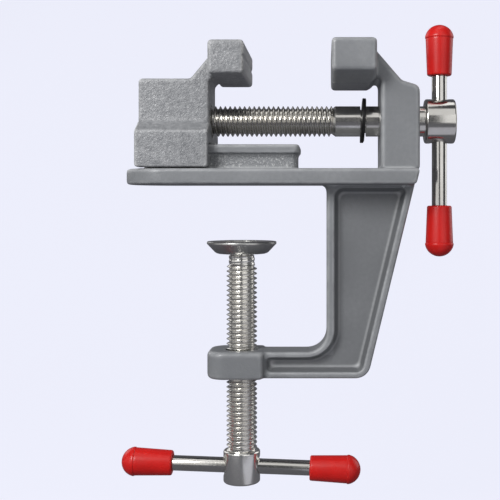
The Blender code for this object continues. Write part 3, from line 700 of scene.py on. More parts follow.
def node_group(name, inputs, outputs):
    """An empty shader group with named sockets, and its input and output nodes."""
    group = bpy.data.node_groups.new(name, "ShaderNodeTree")
    for socket_name, value in inputs.items():
        kind = "NodeSocketVector" if isinstance(value, tuple) else "NodeSocketFloat"
        socket = group.interface.new_socket(socket_name, in_out="INPUT", socket_type=kind)
        socket.default_value = value
    for socket_name in outputs:
        group.interface.new_socket(socket_name, in_out="OUTPUT", socket_type="NodeSocketFloat")
    return group, group.nodes.new("NodeGroupInput").outputs, group.nodes.new("NodeGroupOutput")


def noise_node(tree, place, scale, detail, roughness=0.5):
    node = add_node(tree, "TexNoise")
    feed_named(tree, node, Vector=place, Scale=scale, Detail=detail, Roughness=roughness)
    return node.outputs["Fac"]


def build_grain_group():
    """Uneven skin: Height for bumps at the asked scale, Tone for slow changes of shade."""
    group, given, leave = node_group(
        "uneven skin",
        {"Scale": 900.0, "Tone Scale": 90.0, "Stretch": (1.0, 1.0, 1.0)}, ("Height", "Tone"),
    )
    stretch = add_node(group, "VectorMath", operation="MULTIPLY")
    feed(group, add_node(group, "TexCoord").outputs["Object"], stretch.inputs[0])
    feed(group, given["Stretch"], stretch.inputs[1])
    place = stretch.outputs["Vector"]
    slow = noise_node(group, place, given["Tone Scale"], CLOUD_DETAIL)
    feed_named(
        group, leave,
        Height=noise_node(group, place, given["Scale"], SKIN_DETAIL, SKIN_ROUGH),
        Tone=map_node(group, slow, *CLOUD_RANGE),
    )
    return group


def build_wear_and_highlight_group():
    """Edge wear and painted highlights: Edge is 1 along outer edges, broken up by noise; Hollow is 1 in
    inner corners.
    """
    group, given, leave = node_group(
        "rubbed edges", {"Low": 0.52, "High": 0.58, "Breakup Scale": 300.0}, ("Edge", "Hollow")
    )
    place = add_node(group, "TexCoord").outputs["Object"]
    bend = add_node(group, "NewGeometry").outputs["Pointiness"]
    breakup = noise_node(group, place, given["Breakup Scale"], CLOUD_DETAIL)
    ridge = map_node(group, bend, given["Low"], given["High"])
    feed_named(
        group, leave,
        Edge=product(group, ridge, map_node(group, breakup, *PATCH_RANGE, PATCH_LOW, 1.0)),
        Hollow=map_node(group, bend, *HOLLOW_RANGE),
    )
    return group


def place_group(tree, group, **values):
    node = add_node(tree, "Group", node_tree=group)
    feed_named(tree, node, **values)
    return node.outputs


def bump_node(tree, height, distance, normal=None):
    node = add_node(tree, "Bump")
    feed_named(tree, node, Strength=1.0, Distance=distance, Height=height, Normal=normal)
    return node.outputs["Normal"]


def new_material(name):
    """A material with a Principled shader; returns the material, its tree and the shader."""
    made = bpy.data.materials.new(name)
    made.use_nodes = True
    return made, made.node_tree, made.node_tree.nodes["Principled BSDF"]


SKIN = build_grain_group()
EDGE_WEAR_AND_HIGHLIGHT = build_wear_and_highlight_group()
PAINT_GREY = (0.194, 0.201, 0.211, 1.0)
PAINT_PALE = (0.262, 0.270, 0.281, 1.0)
# painted shade: a darker grey for the arm's recess, where the rims and base plate shade it
PAINT_RECESS_SHADE = (0.085, 0.088, 0.093, 1.0)  # in the arm's recess
# painted highlight: a pale line along the outer edges
PAINT_EDGE_HIGHLIGHT = (0.440, 0.448, 0.460, 1.0)
# painted highlight: a pale line along the fillets in inner corners
PAINT_HOLLOW_HIGHLIGHT = (0.620, 0.628, 0.640, 1.0)
PAINT_PEEL = 0.055 * MM
RECESS_FLOOR_SHADE = 0.30
RECESS_WALL_SHADE = 0.56
STEM_LUMP = 0.30 * MM
# painted glints: pale specks on the rail's rough stem
STEM_GLINT = (0.520, 0.525, 0.530, 1.0)
GLINT_RANGE = (0.55, 0.68)
GRIT_SHARE = 0.55
PAINT_GLOSS = (0.33, 0.43)
BLUR = EDGE_ROUND / 3

paint, tree, shader = new_material("semi-gloss grey paint")
skin = place_group(tree, SKIN, Scale=1400.0, Tone_Scale=55.0)
grit = place_group(tree, SKIN, Scale=2600.0, Tone_Scale=900.0)
edge_wear_and_highlight = place_group(tree, EDGE_WEAR_AND_HIGHLIGHT, Low=0.506, High=0.545)
x, y, z = place_on(tree)
stem = product(
    tree,
    within(tree, z, BASE_THICK + EDGE_ROUND / 2, BASE_THICK + STEM_HIGH, BLUR),
    within(tree, x, rail_left, RAIL_RIGHT, EDGE_ROUND),
)
# painted glints where the fine skin rises highest on the stem
painted_glints = map_node(tree, grit["Height"], *GLINT_RANGE)
# Painted shade in the arm's recess: its web and drafted walls are darkened, the walls more than the
# web.
from_back = math_node(tree, "SUBTRACT", x, product(tree, z, ARM_SLOPE))
before_back_rim = within(tree, from_back, CLAMP_X, EDGE_X + ARM_TOP_DEEP - RIM_OUTER, BLUR)
beside_rim = within(tree, x, EDGE_X + RIM_INNER, UPRIGHT_RIGHT, BLUR)
under_rim = within(tree, z, ARM_FOOT, -ARM_DROP - RIM_OVER, BLUR)
beside_boss = within(tree, x, BOSS_LEFT + BOSS_LONG + RIM_END, UPRIGHT_RIGHT, BLUR)
over_foot = within(tree, z, ARM_FOOT + RIM_UNDER, -RIM_TOP, BLUR)
legs = math_node(tree, "MAXIMUM", beside_rim, product(tree, under_rim, beside_boss))
depth = math_node(tree, "ABSOLUTE", y)
shade = map_node(tree, depth, WEB_THICK / 2, WEB_THICK / 2 + 2 * BLUR, RECESS_FLOOR_SHADE, RECESS_WALL_SHADE)
inside = map_node(tree, depth, ARM_WIDE / 2 - EDGE_ROUND, ARM_WIDE / 2 - EDGE_ROUND / 2, 1.0, 0.0)
recess = product(tree, legs, before_back_rim, over_foot, shade, inside)
colour = mix_colour(tree, skin["Tone"], PAINT_GREY, PAINT_PALE)
colour = mix_colour(tree, spread(tree, grit["Tone"], 0.0, GRIT_SHARE), colour, PAINT_GREY)
colour = mix_colour(tree, recess, colour, PAINT_RECESS_SHADE)
# painted highlight along the fillets of inner corners
colour = mix_colour(tree, edge_wear_and_highlight["Hollow"], colour, PAINT_HOLLOW_HIGHLIGHT)
# painted highlight along the outer edges, broken up by noise
colour = mix_colour(tree, edge_wear_and_highlight["Edge"], colour, PAINT_EDGE_HIGHLIGHT)
peel = bump_node(tree, skin["Height"], PAINT_PEEL)
feed_named(
    tree, shader,
    Base_Color=mix_colour(tree, product(tree, stem, painted_glints), colour, STEM_GLINT),
    Roughness=spread(tree, skin["Tone"], *PAINT_GLOSS),
    Normal=bump_node(tree, product(tree, stem, grit["Height"]), STEM_LUMP, peel),
)
new_piece("cast_frame", frame_mesh, "frame", "frame", paint)


# Moving jaw: a second casting, left as it came from its mould, so its outer faces have a rough orange
# peel. Its T slot rides the rail, its bore takes the jaw screw, and its clamping face has a V groove.
moving_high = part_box("moving_jaw")[1]
MOVING_FACE = moving_high.x
MOVING_DEEP = 8.9 * MM
MOVING_HIGH = 8.3 * MM
MOVING_TOP = moving_high.z
GROOVE_WIDE = 1.2 * MM
GROOVE_DEEP = 0.6 * MM
BLOCK_LONG = 17.8 * MM
BLOCK_WIDE = 15.0 * MM
BLOCK_TOP = BASE_THICK + 22.8 * MM
BLOCK_STEP = 0.5 * MM
BLOCK_RIGHT = MOVING_FACE - MOVING_DEEP - BLOCK_STEP
BLOCK_LEFT = BLOCK_RIGHT - BLOCK_LONG
SLOPE_TOP = BASE_THICK + 11.9 * MM
SKIRT_TOP = BASE_THICK + 9.4 * MM
SKIRT_WALL = 3.4 * MM
SKIRT_OVER = 0.25 * MM
SKIRT_BEVEL_DEG = 80
SLIDE_GAP = 0.3 * MM
NECK_RUN = 5.2 * MM
NECK_RISE = 6.3 * MM
GUSSET = 1.1 * MM
JAW_VOXEL = 0.27 * MM
JAW_FILL_PASSES = 12
JAW_SMOOTH_PASSES = 2
PEEL_LUMP = 1.1 * MM
PEEL_HIGH = 0.030 * MM
PEEL_FINE = 0.5 * MM
PEEL_SHARE = 0.75  # of the broad lumps, the rest is fine


def skirt_corners():
    slot = LIP_WIDE / 2 + SLIDE_GAP
    mouth = STEM_WIDE / 2 + SLIDE_GAP
    wall = slot + SKIRT_WALL
    foot = BASE_THICK + SLIDE_GAP
    ledge = BASE_THICK + STEM_HIGH - SLIDE_GAP
    ceiling = BASE_THICK + STEM_HIGH + LIP_THICK + SLIDE_GAP
    half = [
        (mouth, foot, 0),
        (wall, foot, EDGE_ROUND),
        (wall, SKIRT_TOP, SOFT_ROUND),
        (BLOCK_WIDE / 2, SLOPE_TOP, 0),
    ]
    slot_side = [(slot, ceiling, 0), (slot, ledge, 0), (mouth, ledge, 0)]
    other = [(-x, z, r) for x, z, r in reversed(half)]
    return half + other + [(-x, z, r) for x, z, r in reversed(slot_side)] + slot_side


def block_corners():
    under = MOVING_TOP - MOVING_HIGH
    back = MOVING_FACE - MOVING_DEEP
    sunk = SKIRT_TOP
    return [
        (BLOCK_RIGHT, sunk, 0),
        (BLOCK_RIGHT, under - GUSSET, 0),
        (back + GUSSET, under + PASS / 2, 0),
        (back + PASS, BLOCK_TOP + NECK_RISE, 0),
        (back, BLOCK_TOP + NECK_RISE, 0),
        (back - NECK_RUN, BLOCK_TOP, SOFT_ROUND),
        (BLOCK_LEFT, BLOCK_TOP, SOFT_ROUND),
        (BLOCK_LEFT, sunk, 0),
    ]


skirt = slab(
    rounded(skirt_corners()), BLOCK_LONG + 2 * SKIRT_OVER,
    ((BLOCK_LEFT + BLOCK_RIGHT) / 2, 0, 0), ALONG_X, EDGE_ROUND, angle=SKIRT_BEVEL_DEG,
)
head_bottom = MOVING_TOP - MOVING_HIGH
head_outline = [
    (-JAW_WIDE / 2, head_bottom), (JAW_WIDE / 2, head_bottom),
    (JAW_WIDE / 2, MOVING_TOP), (-JAW_WIDE / 2, MOVING_TOP),
]
combine(skirt, [
    slab(rounded(block_corners()), BLOCK_WIDE, rotation=ALONG_Y, round_by=SOFT_ROUND),
    slab(head_outline, MOVING_DEEP, (MOVING_FACE - MOVING_DEEP / 2, 0, 0), ALONG_X, SOFT_ROUND),
], "UNION")
groove_z = MOVING_TOP - MOVING_HIGH / 2
combine(skirt, [
    slab(
        [
            (MOVING_FACE - GROOVE_DEEP, groove_z),
            (MOVING_FACE + PASS, groove_z - GROOVE_WIDE / 2 - PASS),
            (MOVING_FACE + PASS, groove_z + GROOVE_WIDE / 2 + PASS),
        ],
        JAW_WIDE + 2 * PASS, rotation=ALONG_Y,
    ),
    cylinder(
        BORE_RADIUS,
        (BLOCK_LEFT - SKIRT_OVER - PASS, 0, SCREW_Z), (BLOCK_RIGHT + SKIRT_OVER + PASS, 0, SCREW_Z),
    ),
], "DIFFERENCE")
jaw_mesh = cast_over(skirt, JAW_VOXEL, JAW_FILL_PASSES, JAW_SMOOTH_PASSES)
clear_workshop()


def roughen_jaw(mesh):
    """Orange peel on the faces left as cast; the clamping face, the bore and the T slot stay smooth."""
    points, _ = mesh_arrays(mesh)
    normals = outward(mesh)
    slot_top = BASE_THICK + STEM_HIGH + LIP_THICK + 2 * SLIDE_GAP
    slot_half = LIP_WIDE / 2 + 2 * SLIDE_GAP
    for i, (x, y, z) in enumerate(points):
        in_slot = z < slot_top and abs(y) < slot_half
        in_bore = math.hypot(y, z - SCREW_Z) < BORE_RADIUS + SLIDE_GAP
        on_face = x > MOVING_FACE - EDGE_ROUND
        if in_slot or in_bore or on_face:
            continue
        lump = noise.noise(Vector((x, y, z)) / PEEL_LUMP)
        fine = noise.noise(Vector((x, y, z)) / PEEL_FINE)
        points[i] += normals[i] * PEEL_HIGH * (PEEL_SHARE * lump + (1 - PEEL_SHARE) * fine)
    put_back(mesh, points)


roughen_jaw(jaw_mesh)
CAST_GREY = (0.180, 0.185, 0.195, 1.0)
CAST_PALE = (0.335, 0.340, 0.350, 1.0)
# painted highlight: a pale line along the outer edges
CAST_EDGE_HIGHLIGHT = (0.560, 0.565, 0.570, 1.0)
CAST_BARE = (0.560, 0.560, 0.550, 1.0)
CAST_PEEL = 0.19 * MM
BARE_DEEP = 0.35 * MM
BARE_METAL = 0.8
BAND_PEEL = 0.25  # share of the peel left on the smooth band above the skirt
CAST_CLOUD = 0.4
CAST_GLOSS = (0.30, 0.42)

casting, tree, shader = new_material("rough grey casting")
skin = place_group(tree, SKIN, Scale=1900.0, Tone_Scale=800.0)
broad = place_group(tree, SKIN, Scale=500.0, Tone_Scale=120.0)
edge_wear_and_highlight = place_group(tree, EDGE_WEAR_AND_HIGHLIGHT, Low=0.508, High=0.54)
x, _, z = place_on(tree)
bare = map_node(tree, x, MOVING_FACE - 2 * BARE_DEEP, MOVING_FACE - BARE_DEEP)
band = within(tree, z, SKIRT_TOP + EDGE_ROUND / 2, SLOPE_TOP - EDGE_ROUND / 2, EDGE_ROUND / 2)
colour = mix_colour(tree, skin["Tone"], CAST_GREY, CAST_PALE)
colour = mix_colour(tree, product(tree, broad["Tone"], CAST_CLOUD), colour, CAST_GREY)
# painted highlight along the outer edges, broken up by noise
colour = mix_colour(tree, edge_wear_and_highlight["Edge"], colour, CAST_EDGE_HIGHLIGHT)
uneven = product(tree, skin["Height"], spread(tree, band, 1.0, BAND_PEEL))
feed_named(
    tree, shader,
    Base_Color=mix_colour(tree, bare, colour, CAST_BARE),
    Roughness=spread(tree, broad["Tone"], *CAST_GLOSS),
    Metallic=product(tree, bare, BARE_METAL),
    Normal=bump_node(tree, uneven, CAST_PEEL),
)
new_piece("cast_moving_jaw", jaw_mesh, "moving_jaw", "moving_jaw", casting)


# Jaw screw: an M8 steel screw, rolled thread, nickel plated. Its smooth shank turns in the upright's
# bore behind a snap ring, and its head is cross-drilled for the sliding bar.
PITCH = 1.25 * MM
CREST_RADIUS = 3.95 * MM
ROOT_RADIUS = 3.22 * MM
SHANK_RADIUS = 3.93 * MM
JAW_HEAD_RADIUS = 5.75 * MM
JAW_HEAD_LONG = 7.8 * MM
HEAD_ROUND = 0.55 * MM
CLIP_GROOVE_RADIUS = 3.0 * MM
CLIP_GROOVE_WIDE = 1.5 * MM
THREAD_END = EDGE_X + 1.4 * MM
RUNOUT = 0.9 * MM
TIP_CHAMFER = 0.9 * MM
BAR_HOLE_RADIUS = 2.3 * MM
BAR_RADIUS = 1.95 * MM
COUNTERSINK = 0.35 * MM
THREAD_SHARES = (  # place along one turn, height from root to crest
    (0.00, 0.00), (0.09, 0.00), (0.15, 0.07), (0.41, 0.92), (0.46, 1.00),
    (0.54, 1.00), (0.59, 0.92), (0.85, 0.07), (0.91, 0.00),
)
THREAD_STEPS = 96
WELD = 0.0001 * MM
TURN_STEPS = 128
TURN_PHASE_SHARE = 0.37  # of a step, so turned shapes share no corner with the thread
HOLE_STEPS = 64
SHARP_DEG = 32


def mesh_object(name, points, faces):
    mesh = bpy.data.meshes.new(name)
    mesh.from_pydata([tuple(p) for p in points], [], faces)
    shape = bmesh.new()
    shape.from_mesh(mesh)
    bpy.data.meshes.remove(mesh)
    bmesh.ops.remove_doubles(shape, verts=shape.verts, dist=WELD)
    bmesh.ops.recalc_face_normals(shape, faces=shape.faces)
    return in_workshop(name, shape)


def add_ring(points, radius, level, steps, phase=0.0):
    """Adds a ring of points, or one that stands for the whole ring, and gives their numbers."""
    first = len(points)
    if radius <= 0:
        points.append((0, 0, level))
        return [first] * steps
    for k in range(steps):
        angle = 2 * math.pi * (k + phase) / steps
        points.append((radius * math.cos(angle), radius * math.sin(angle), level))
    return list(range(first, len(points)))


def join_rings(faces, low, high):
    for k in range(len(low)):
        faces.append(tuple(dict.fromkeys((low[k - 1], low[k], high[k], high[k - 1]))))


def threaded(foot, head, limit, core):
    """A turned solid with a right-hand thread about Z, closed by the rings of foot and head. The rows
    of its skin climb with the thread, within the radii of limit and outside those of core."""
    low, high = limit[0][1], limit[-1][1]
    spots = []
    for (here, _), (after, _) in zip(THREAD_SHARES, THREAD_SHARES[1:] + ((1.0, 0.0),)):
        spots += [here, (here + after) / 2]
    across = len(spots)
    turns = math.ceil((high - low) / PITCH) + 3
    climb = np.array([turn - 1 + spot for turn in range(turns) for spot in spots])[None, :]
    step = np.arange(THREAD_STEPS)[:, None] / THREAD_STEPS
    z = np.clip(low + PITCH * (climb + step), low, high)
    along, height = zip(*THREAD_SHARES, (1.0, 0.0))
    height = np.interp(((z - low) / PITCH - step) % 1, along, height)
    radius = ROOT_RADIUS + (CREST_RADIUS - ROOT_RADIUS) * height
    radius = np.minimum(radius, np.interp(z, [h for _, h in limit], [r for r, _ in limit]))
    radius = np.maximum(radius, np.interp(z, [h for _, h in core], [r for r, _ in core]))
    angle = 2 * math.pi * step
    points = np.stack([radius * np.cos(angle), radius * np.sin(angle), z], -1).reshape(-1, 3).tolist()
    rows = climb.shape[1]
    faces = []
    for i in range(THREAD_STEPS):
        here = i * rows
        after = (i + 1) * rows if i + 1 < THREAD_STEPS else across
        for j in range(rows - 1 - (0 if i + 1 < THREAD_STEPS else across)):
            faces.append((here + j, after + j, after + j + 1, here + j + 1))
    low_ring = [i * rows for i in range(THREAD_STEPS)]
    high_ring = [i * rows + rows - 1 for i in range(THREAD_STEPS)]
    for ring, profile in ((low_ring, foot[::-1]), (high_ring, head)):
        for ring_radius, level in profile:
            after = add_ring(points, ring_radius, level, THREAD_STEPS)
            join_rings(faces, ring, after)
            ring = after
    return mesh_object("threaded", points, faces)


def turned(profile, steps=TURN_STEPS):
    """A solid of revolution about Z from (radius, height) points, listed from one end to the other."""
    points, faces = [], []
    rings = [add_ring(points, radius, z, steps, TURN_PHASE_SHARE) for radius, z in profile]
    if profile[0][0] > 0 and profile[-1][0] > 0:
        rings.append(rings[0])
    for low, high in zip(rings, rings[1:]):
        join_rings(faces, low, high)
    return mesh_object("turned", points, faces)


def drum(radius, low, high):
    """The outline of a screw's round head, its two rims rounded."""
    flat = radius - HEAD_ROUND
    foot = arc(HEAD_ROUND, flat, low + HEAD_ROUND, -90, 0)
    return foot + arc(HEAD_ROUND, flat, high - HEAD_ROUND, 0, 90)


def bar_hole(level, surface):
    """A cutter for the bar's hole across a round head, countersunk where it leaves the surface."""
    lip = BAR_HOLE_RADIUS + COUNTERSINK
    reach = surface + PASS
    half = [(0, reach), (lip + PASS, reach), (lip, surface), (BAR_HOLE_RADIUS, surface - COUNTERSINK)]
    profile = [(radius, -along) for radius, along in half] + half[::-1]
    return placed(turned(profile, HOLE_STEPS), (0, 0, level), (1, 0, 0))


def finished(obj, sharp_deg=SHARP_DEG):
    mesh = settled(obj)
    mesh.shade_smooth()
    mesh.set_sharp_from_angle(angle=math.radians(sharp_deg))
    return mesh


head_right = jaw_screw_high.x
head_left = head_right - JAW_HEAD_LONG
tip_left = jaw_screw_low.x
clip_low, clip_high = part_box("snap_ring")
clip_x = (clip_low.x + clip_high.x) / 2
groove_half = CLIP_GROOVE_WIDE / 2
shank_start = THREAD_END + RUNOUT
head_profile = [
    (SHANK_RADIUS, clip_x - groove_half),
    (CLIP_GROOVE_RADIUS, clip_x - groove_half),
    (CLIP_GROOVE_RADIUS, clip_x + groove_half),
    (SHANK_RADIUS, clip_x + groove_half),
    (SHANK_RADIUS, head_left),
]
head_profile += drum(JAW_HEAD_RADIUS, head_left, head_right) + [(0, head_right)]
screw_core = threaded(
    [(0, tip_left)], head_profile,
    [
        (CREST_RADIUS - TIP_CHAMFER, tip_left), (CREST_RADIUS, tip_left + TIP_CHAMFER),
        (CREST_RADIUS, THREAD_END), (ROOT_RADIUS, THREAD_END + RUNOUT / 6), (ROOT_RADIUS, shank_start),
    ],
    [
        (ROOT_RADIUS / 2, tip_left), (ROOT_RADIUS - EDGE_ROUND / 4, tip_left + TIP_CHAMFER),
        (ROOT_RADIUS - EDGE_ROUND / 4, THREAD_END - RUNOUT / 3), (SHANK_RADIUS, shank_start),
    ],
)
combine(screw_core, [bar_hole((head_left + head_right) / 2, JAW_HEAD_RADIUS)], "DIFFERENCE")
jaw_screw_mesh = finished(screw_core)
lay_along_x = Matrix.Translation((0, 0, SCREW_Z)) @ Matrix.Rotation(math.radians(90), 4, "Y")
jaw_screw_mesh.transform(lay_along_x)
clear_workshop()

NICKEL = (0.690, 0.675, 0.645, 1.0)
NICKEL_WARM = (0.610, 0.588, 0.545, 1.0)
NICKEL_EDGE = (0.800, 0.790, 0.765, 1.0)
CLOUD_FULL = 0.7
LINE_DEEP = 0.006 * MM


def worn_colour(tree, skin, bright, dark, edge, **rubbing):
    """Two tones clouded into one another, and another shade along rubbed edges."""
    edge_wear_and_highlight = place_group(tree, EDGE_WEAR_AND_HIGHLIGHT, **rubbing)
    return mix_colour(tree, edge_wear_and_highlight["Edge"], mix_colour(tree, skin["Tone"], bright, dark), edge)


def plated_steel(name, stretch, gloss, bright=NICKEL, warm=NICKEL_WARM):
    """Bright plating over turned steel: fine lines along the stretch, slightly clouded."""
    made, tree, shader = new_material(name)
    skin = place_group(tree, SKIN, Scale=260.0, Tone_Scale=140.0)
    lines = place_group(tree, SKIN, Scale=900.0, Stretch=stretch)["Height"]
    cloud = product(tree, skin["Tone"], lines)
    feed_named(
        tree, shader, Metallic=1.0,
        Base_Color=worn_colour(tree, skin, bright, warm, NICKEL_EDGE, Low=0.53, High=0.62),
        Roughness=map_node(tree, cloud, 0.0, CLOUD_FULL, *gloss),
        Normal=bump_node(tree, lines, LINE_DEEP),
    )
    return made


lying_steel = plated_steel("plated screw, lying", (6.0, 1.0, 1.0), (0.12, 0.28))
new_piece("threaded_jaw_screw", jaw_screw_mesh, "jaw_screw", "jaw_screw", lying_steel)


# Snap ring: an open spring ring of blacked steel in the shank's groove. It leans a little, as its
# three inner lugs grip the groove.
CLIP_RADIUS = 6.0 * MM
CLIP_BODY = 2.0 * MM
CLIP_THICK = 0.9 * MM
CLIP_SEAT = 0.15 * MM
CLIP_MOUTH = 4.9 * MM
CLIP_LEAN_DEG = 3.0
LUG_AWAY_DEG = 14.0
LUG_HALF_DEG = 17.0
CLIP_STEPS = 144
CLIP_BEVEL_STEPS = 3
CLIP_BEVEL_DEG = 40


def clip_points():
    mouth = math.degrees(math.asin(CLIP_MOUTH / 2 / CLIP_RADIUS))
    first, last = mouth - 90, 270 - mouth
    lugs = (90, first + LUG_AWAY_DEG, last - LUG_AWAY_DEG)
    ring = arc(CLIP_RADIUS, 0, 0, first, last, CLIP_STEPS)
    for x, y in arc(1.0, 0, 0, last, first, CLIP_STEPS):
        angle = (math.degrees(math.atan2(y, x)) - first) % 360 + first
        on_lug = min(abs(angle - lug) for lug in lugs) < LUG_HALF_DEG
        radius = CLIP_GROOVE_RADIUS + CLIP_SEAT if on_lug else CLIP_RADIUS - CLIP_BODY
        ring.append((radius * x, radius * y))
    return ring


ring = slab(
    clip_points(), CLIP_THICK,
    round_by=CLIP_THICK / 6, steps=CLIP_BEVEL_STEPS, angle=CLIP_BEVEL_DEG,
)
clip_turn = Matrix.Rotation(math.radians(CLIP_LEAN_DEG), 3, "Y") @ Euler(ALONG_X).to_matrix()
ring.matrix_world = Matrix.Translation((clip_x, 0, SCREW_Z)) @ clip_turn.to_4x4()
clip_mesh = finished(ring)
clear_workshop()

BLACKED = (0.012, 0.012, 0.013, 1.0)
BLACKED_RUB = (0.060, 0.058, 0.055, 1.0)


def coated(name, skin_scales, tones, gloss, lump, rubbing, **finish):
    """A thin coat over a smooth piece: its tones, a faint skin and a range of gloss."""
    made, tree, shader = new_material(name)
    skin = place_group(tree, SKIN, Scale=skin_scales[0], Tone_Scale=skin_scales[1])
    feed_named(
        tree, shader, **finish,
        Base_Color=worn_colour(tree, skin, *tones, **rubbing),
        Roughness=spread(tree, skin["Tone"], *gloss),
        Normal=bump_node(tree, skin["Height"], lump),
    )
    return made


blacked = coated(
    "blacked spring steel", (1600.0, 300.0), (BLACKED, BLACKED, BLACKED_RUB),
    gloss=(0.28, 0.45), lump=0.01 * MM, rubbing={}, Metallic=0.6,
)
new_piece("spring_ring", clip_mesh, "jaw_screw", "snap_ring", blacked)


# Sliding bars and their caps: 4 mm plated rod, chamfered at both ends, with a red vinyl cap pushed on
# each end. A cap has a domed end, a small step behind the dome, and a body that narrows to its mouth.
BAR_CHAMFER = 0.4 * MM
CAP_LONG = 13.2 * MM
CAP_SHOULDER = 3.7 * MM
CAP_BODY = 3.55 * MM
CAP_MOUTH = 3.2 * MM
CAP_DOME = 3.1 * MM
CAP_STEP = 0.35 * MM
CAP_END_WALL = 1.9 * MM
CAP_MOUTH_ROUND = 0.5 * MM
CAP_GAP = 0.2 * MM
CAP_TAPER = 0.02 * MM
CAP_STEP_DEG = 60
CAP_STEP_FALL = 0.77 * MM
CAP_TAPER_FALL = 1.05 * MM
DOME_STEPS = 20
ROD_STEPS = 64
CAP_STEPS = 96
CAP_SHARP_DEG = 50


def bar_profile(half):
    """A rod with a chamfer at each end, rubbed round where the chamfer meets the rod."""
    lip = BAR_CHAMFER / 3
    end = [
        (0, half), (BAR_RADIUS - BAR_CHAMFER, half),
        (BAR_RADIUS - lip / 3, half - BAR_CHAMFER + lip / 2), (BAR_RADIUS, half - BAR_CHAMFER - lip),
    ]
    return [(radius, -level) for radius, level in end] + end[::-1]


def cap_profile(top):
    sphere = (CAP_SHOULDER ** 2 + CAP_DOME ** 2) / (2 * CAP_DOME)
    start = math.degrees(math.asin((sphere - CAP_DOME) / sphere))
    step_z = top - CAP_DOME
    mouth = top - CAP_LONG
    bore = BAR_RADIUS + CAP_GAP
    lip = CAP_MOUTH - CAP_MOUTH_ROUND
    return [
        (0, top),
        *arc(sphere, 0, top - sphere, 90, start, DOME_STEPS)[1:],
        *arc(CAP_STEP, CAP_SHOULDER - CAP_STEP, step_z - CAP_STEP / 2, 0, -CAP_STEP_DEG, 4)[1:],
        (CAP_BODY, step_z - CAP_STEP_FALL), (CAP_BODY - CAP_TAPER, step_z - CAP_TAPER_FALL),
        *arc(CAP_MOUTH_ROUND, lip, mouth + CAP_MOUTH_ROUND, 0, -90),
        (bore + CAP_GAP, mouth), (bore, mouth + CAP_GAP), (bore, top - CAP_END_WALL),
        (0, top - CAP_END_WALL),
    ]


VINYL_RED = (0.700, 0.016, 0.013, 1.0)
VINYL_DEEP = (0.580, 0.011, 0.009, 1.0)
VINYL_RUB = (0.720, 0.070, 0.050, 1.0)
vinyl = coated(
    "glossy red vinyl", (700.0, 110.0), (VINYL_RED, VINYL_DEEP, VINYL_RUB),
    gloss=(0.24, 0.36), lump=0.02 * MM, rubbing={"Low": 0.55, "High": 0.70},
    Specular_IOR_Level=0.38, Subsurface_Weight=0.08, Subsurface_Scale=1.0 * MM,
)
rod_steel = plated_steel("plated rod", (1.0, 1.0, 1.0), (0.12, 0.24))


def bar_with_caps(body, bar_node, caps, axis):
    """The rod and its two caps where the CAD has them; caps are (node, end of the bar as a sign)."""
    axis = Vector(axis).normalized()
    spots = [sum(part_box(node), Vector()) / 2 for node, _ in caps]
    middle = (spots[0] + spots[1]) / 2
    half = ((spots[0] - spots[1]).length + CAP_LONG) / 2
    rod = placed(turned(bar_profile(half - CAP_END_WALL - CAP_GAP), ROD_STEPS), middle, axis)
    new_piece(bar_node + "_rod", finished(rod), body, bar_node, rod_steel)
    for node, end in caps:
        cap = placed(turned(cap_profile(half), CAP_STEPS), middle, axis * end)
        new_piece(node + "_shell", finished(cap, CAP_SHARP_DEG), body, node, vinyl)
    clear_workshop()


bar_with_caps("jaw_bar", "jaw_bar", (("jaw_bar_cap_top", 1), ("jaw_bar_cap_foot", -1)), (0, 0, 1))


# Clamp screw: the same M8 thread standing upright, its nose turned down below the pad, its pivot
# riveted over inside the pad, and a smaller cross-drilled head at its foot.
CLAMP_HEAD_RADIUS = 4.75 * MM
CLAMP_HEAD_LONG = 8.4 * MM
NOSE_RADIUS = 3.35 * MM
NOSE_LONG = 2.5 * MM
PIVOT_RADIUS = 2.4 * MM
RIVET_RADIUS = 3.7 * MM
RIVET_HIGH = 0.8 * MM
pad_low, pad_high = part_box("swivel_pad")
PAD_GAP = 0.3 * MM
nose_top = pad_low.z - PAD_GAP
nose_foot = nose_top - NOSE_LONG
clamp_head_top = clamp_low.z + CLAMP_HEAD_LONG
rivet_foot = clamp_high.z - RIVET_HIGH
foot_profile = [(0, clamp_low.z)] + drum(CLAMP_HEAD_RADIUS, clamp_low.z, clamp_head_top)
pivot_profile = [
    (PIVOT_RADIUS, nose_top), (PIVOT_RADIUS, rivet_foot), (RIVET_RADIUS, rivet_foot),
    (RIVET_RADIUS, rivet_foot + RIVET_HIGH / 3), (RIVET_RADIUS - RIVET_HIGH, clamp_high.z),
    (0, clamp_high.z),
]
nose_step = CREST_RADIUS - NOSE_RADIUS
stem = threaded(
    foot_profile, pivot_profile,
    [
        (CREST_RADIUS, clamp_head_top), (CREST_RADIUS, nose_foot - nose_step),
        (NOSE_RADIUS, nose_foot), (NOSE_RADIUS, nose_top - EDGE_ROUND / 2),
        (NOSE_RADIUS - EDGE_ROUND / 2, nose_top),
    ],
    [
        (CREST_RADIUS, clamp_head_top), (ROOT_RADIUS - EDGE_ROUND / 4, clamp_head_top + RUNOUT),
        (ROOT_RADIUS - EDGE_ROUND / 4, nose_top - EDGE_ROUND / 2), (ROOT_RADIUS - EDGE_ROUND, nose_top),
    ],
)
combine(stem, [bar_hole((clamp_head_top + clamp_low.z) / 2, CLAMP_HEAD_RADIUS)], "DIFFERENCE")
clamp_mesh = finished(stem)
clamp_mesh.transform(Matrix.Translation((CLAMP_X, 0, 0)))
clear_workshop()

ZINC = (0.895, 0.880, 0.838, 1.0)
ZINC_WARM = (0.815, 0.792, 0.742, 1.0)
upright_steel = plated_steel("plated screw, upright", (1.0, 1.0, 6.0), (0.18, 0.34), ZINC, ZINC_WARM)
new_piece(
    "threaded_clamp_screw", clamp_mesh, "clamp_screw", "clamp_screw", upright_steel
)

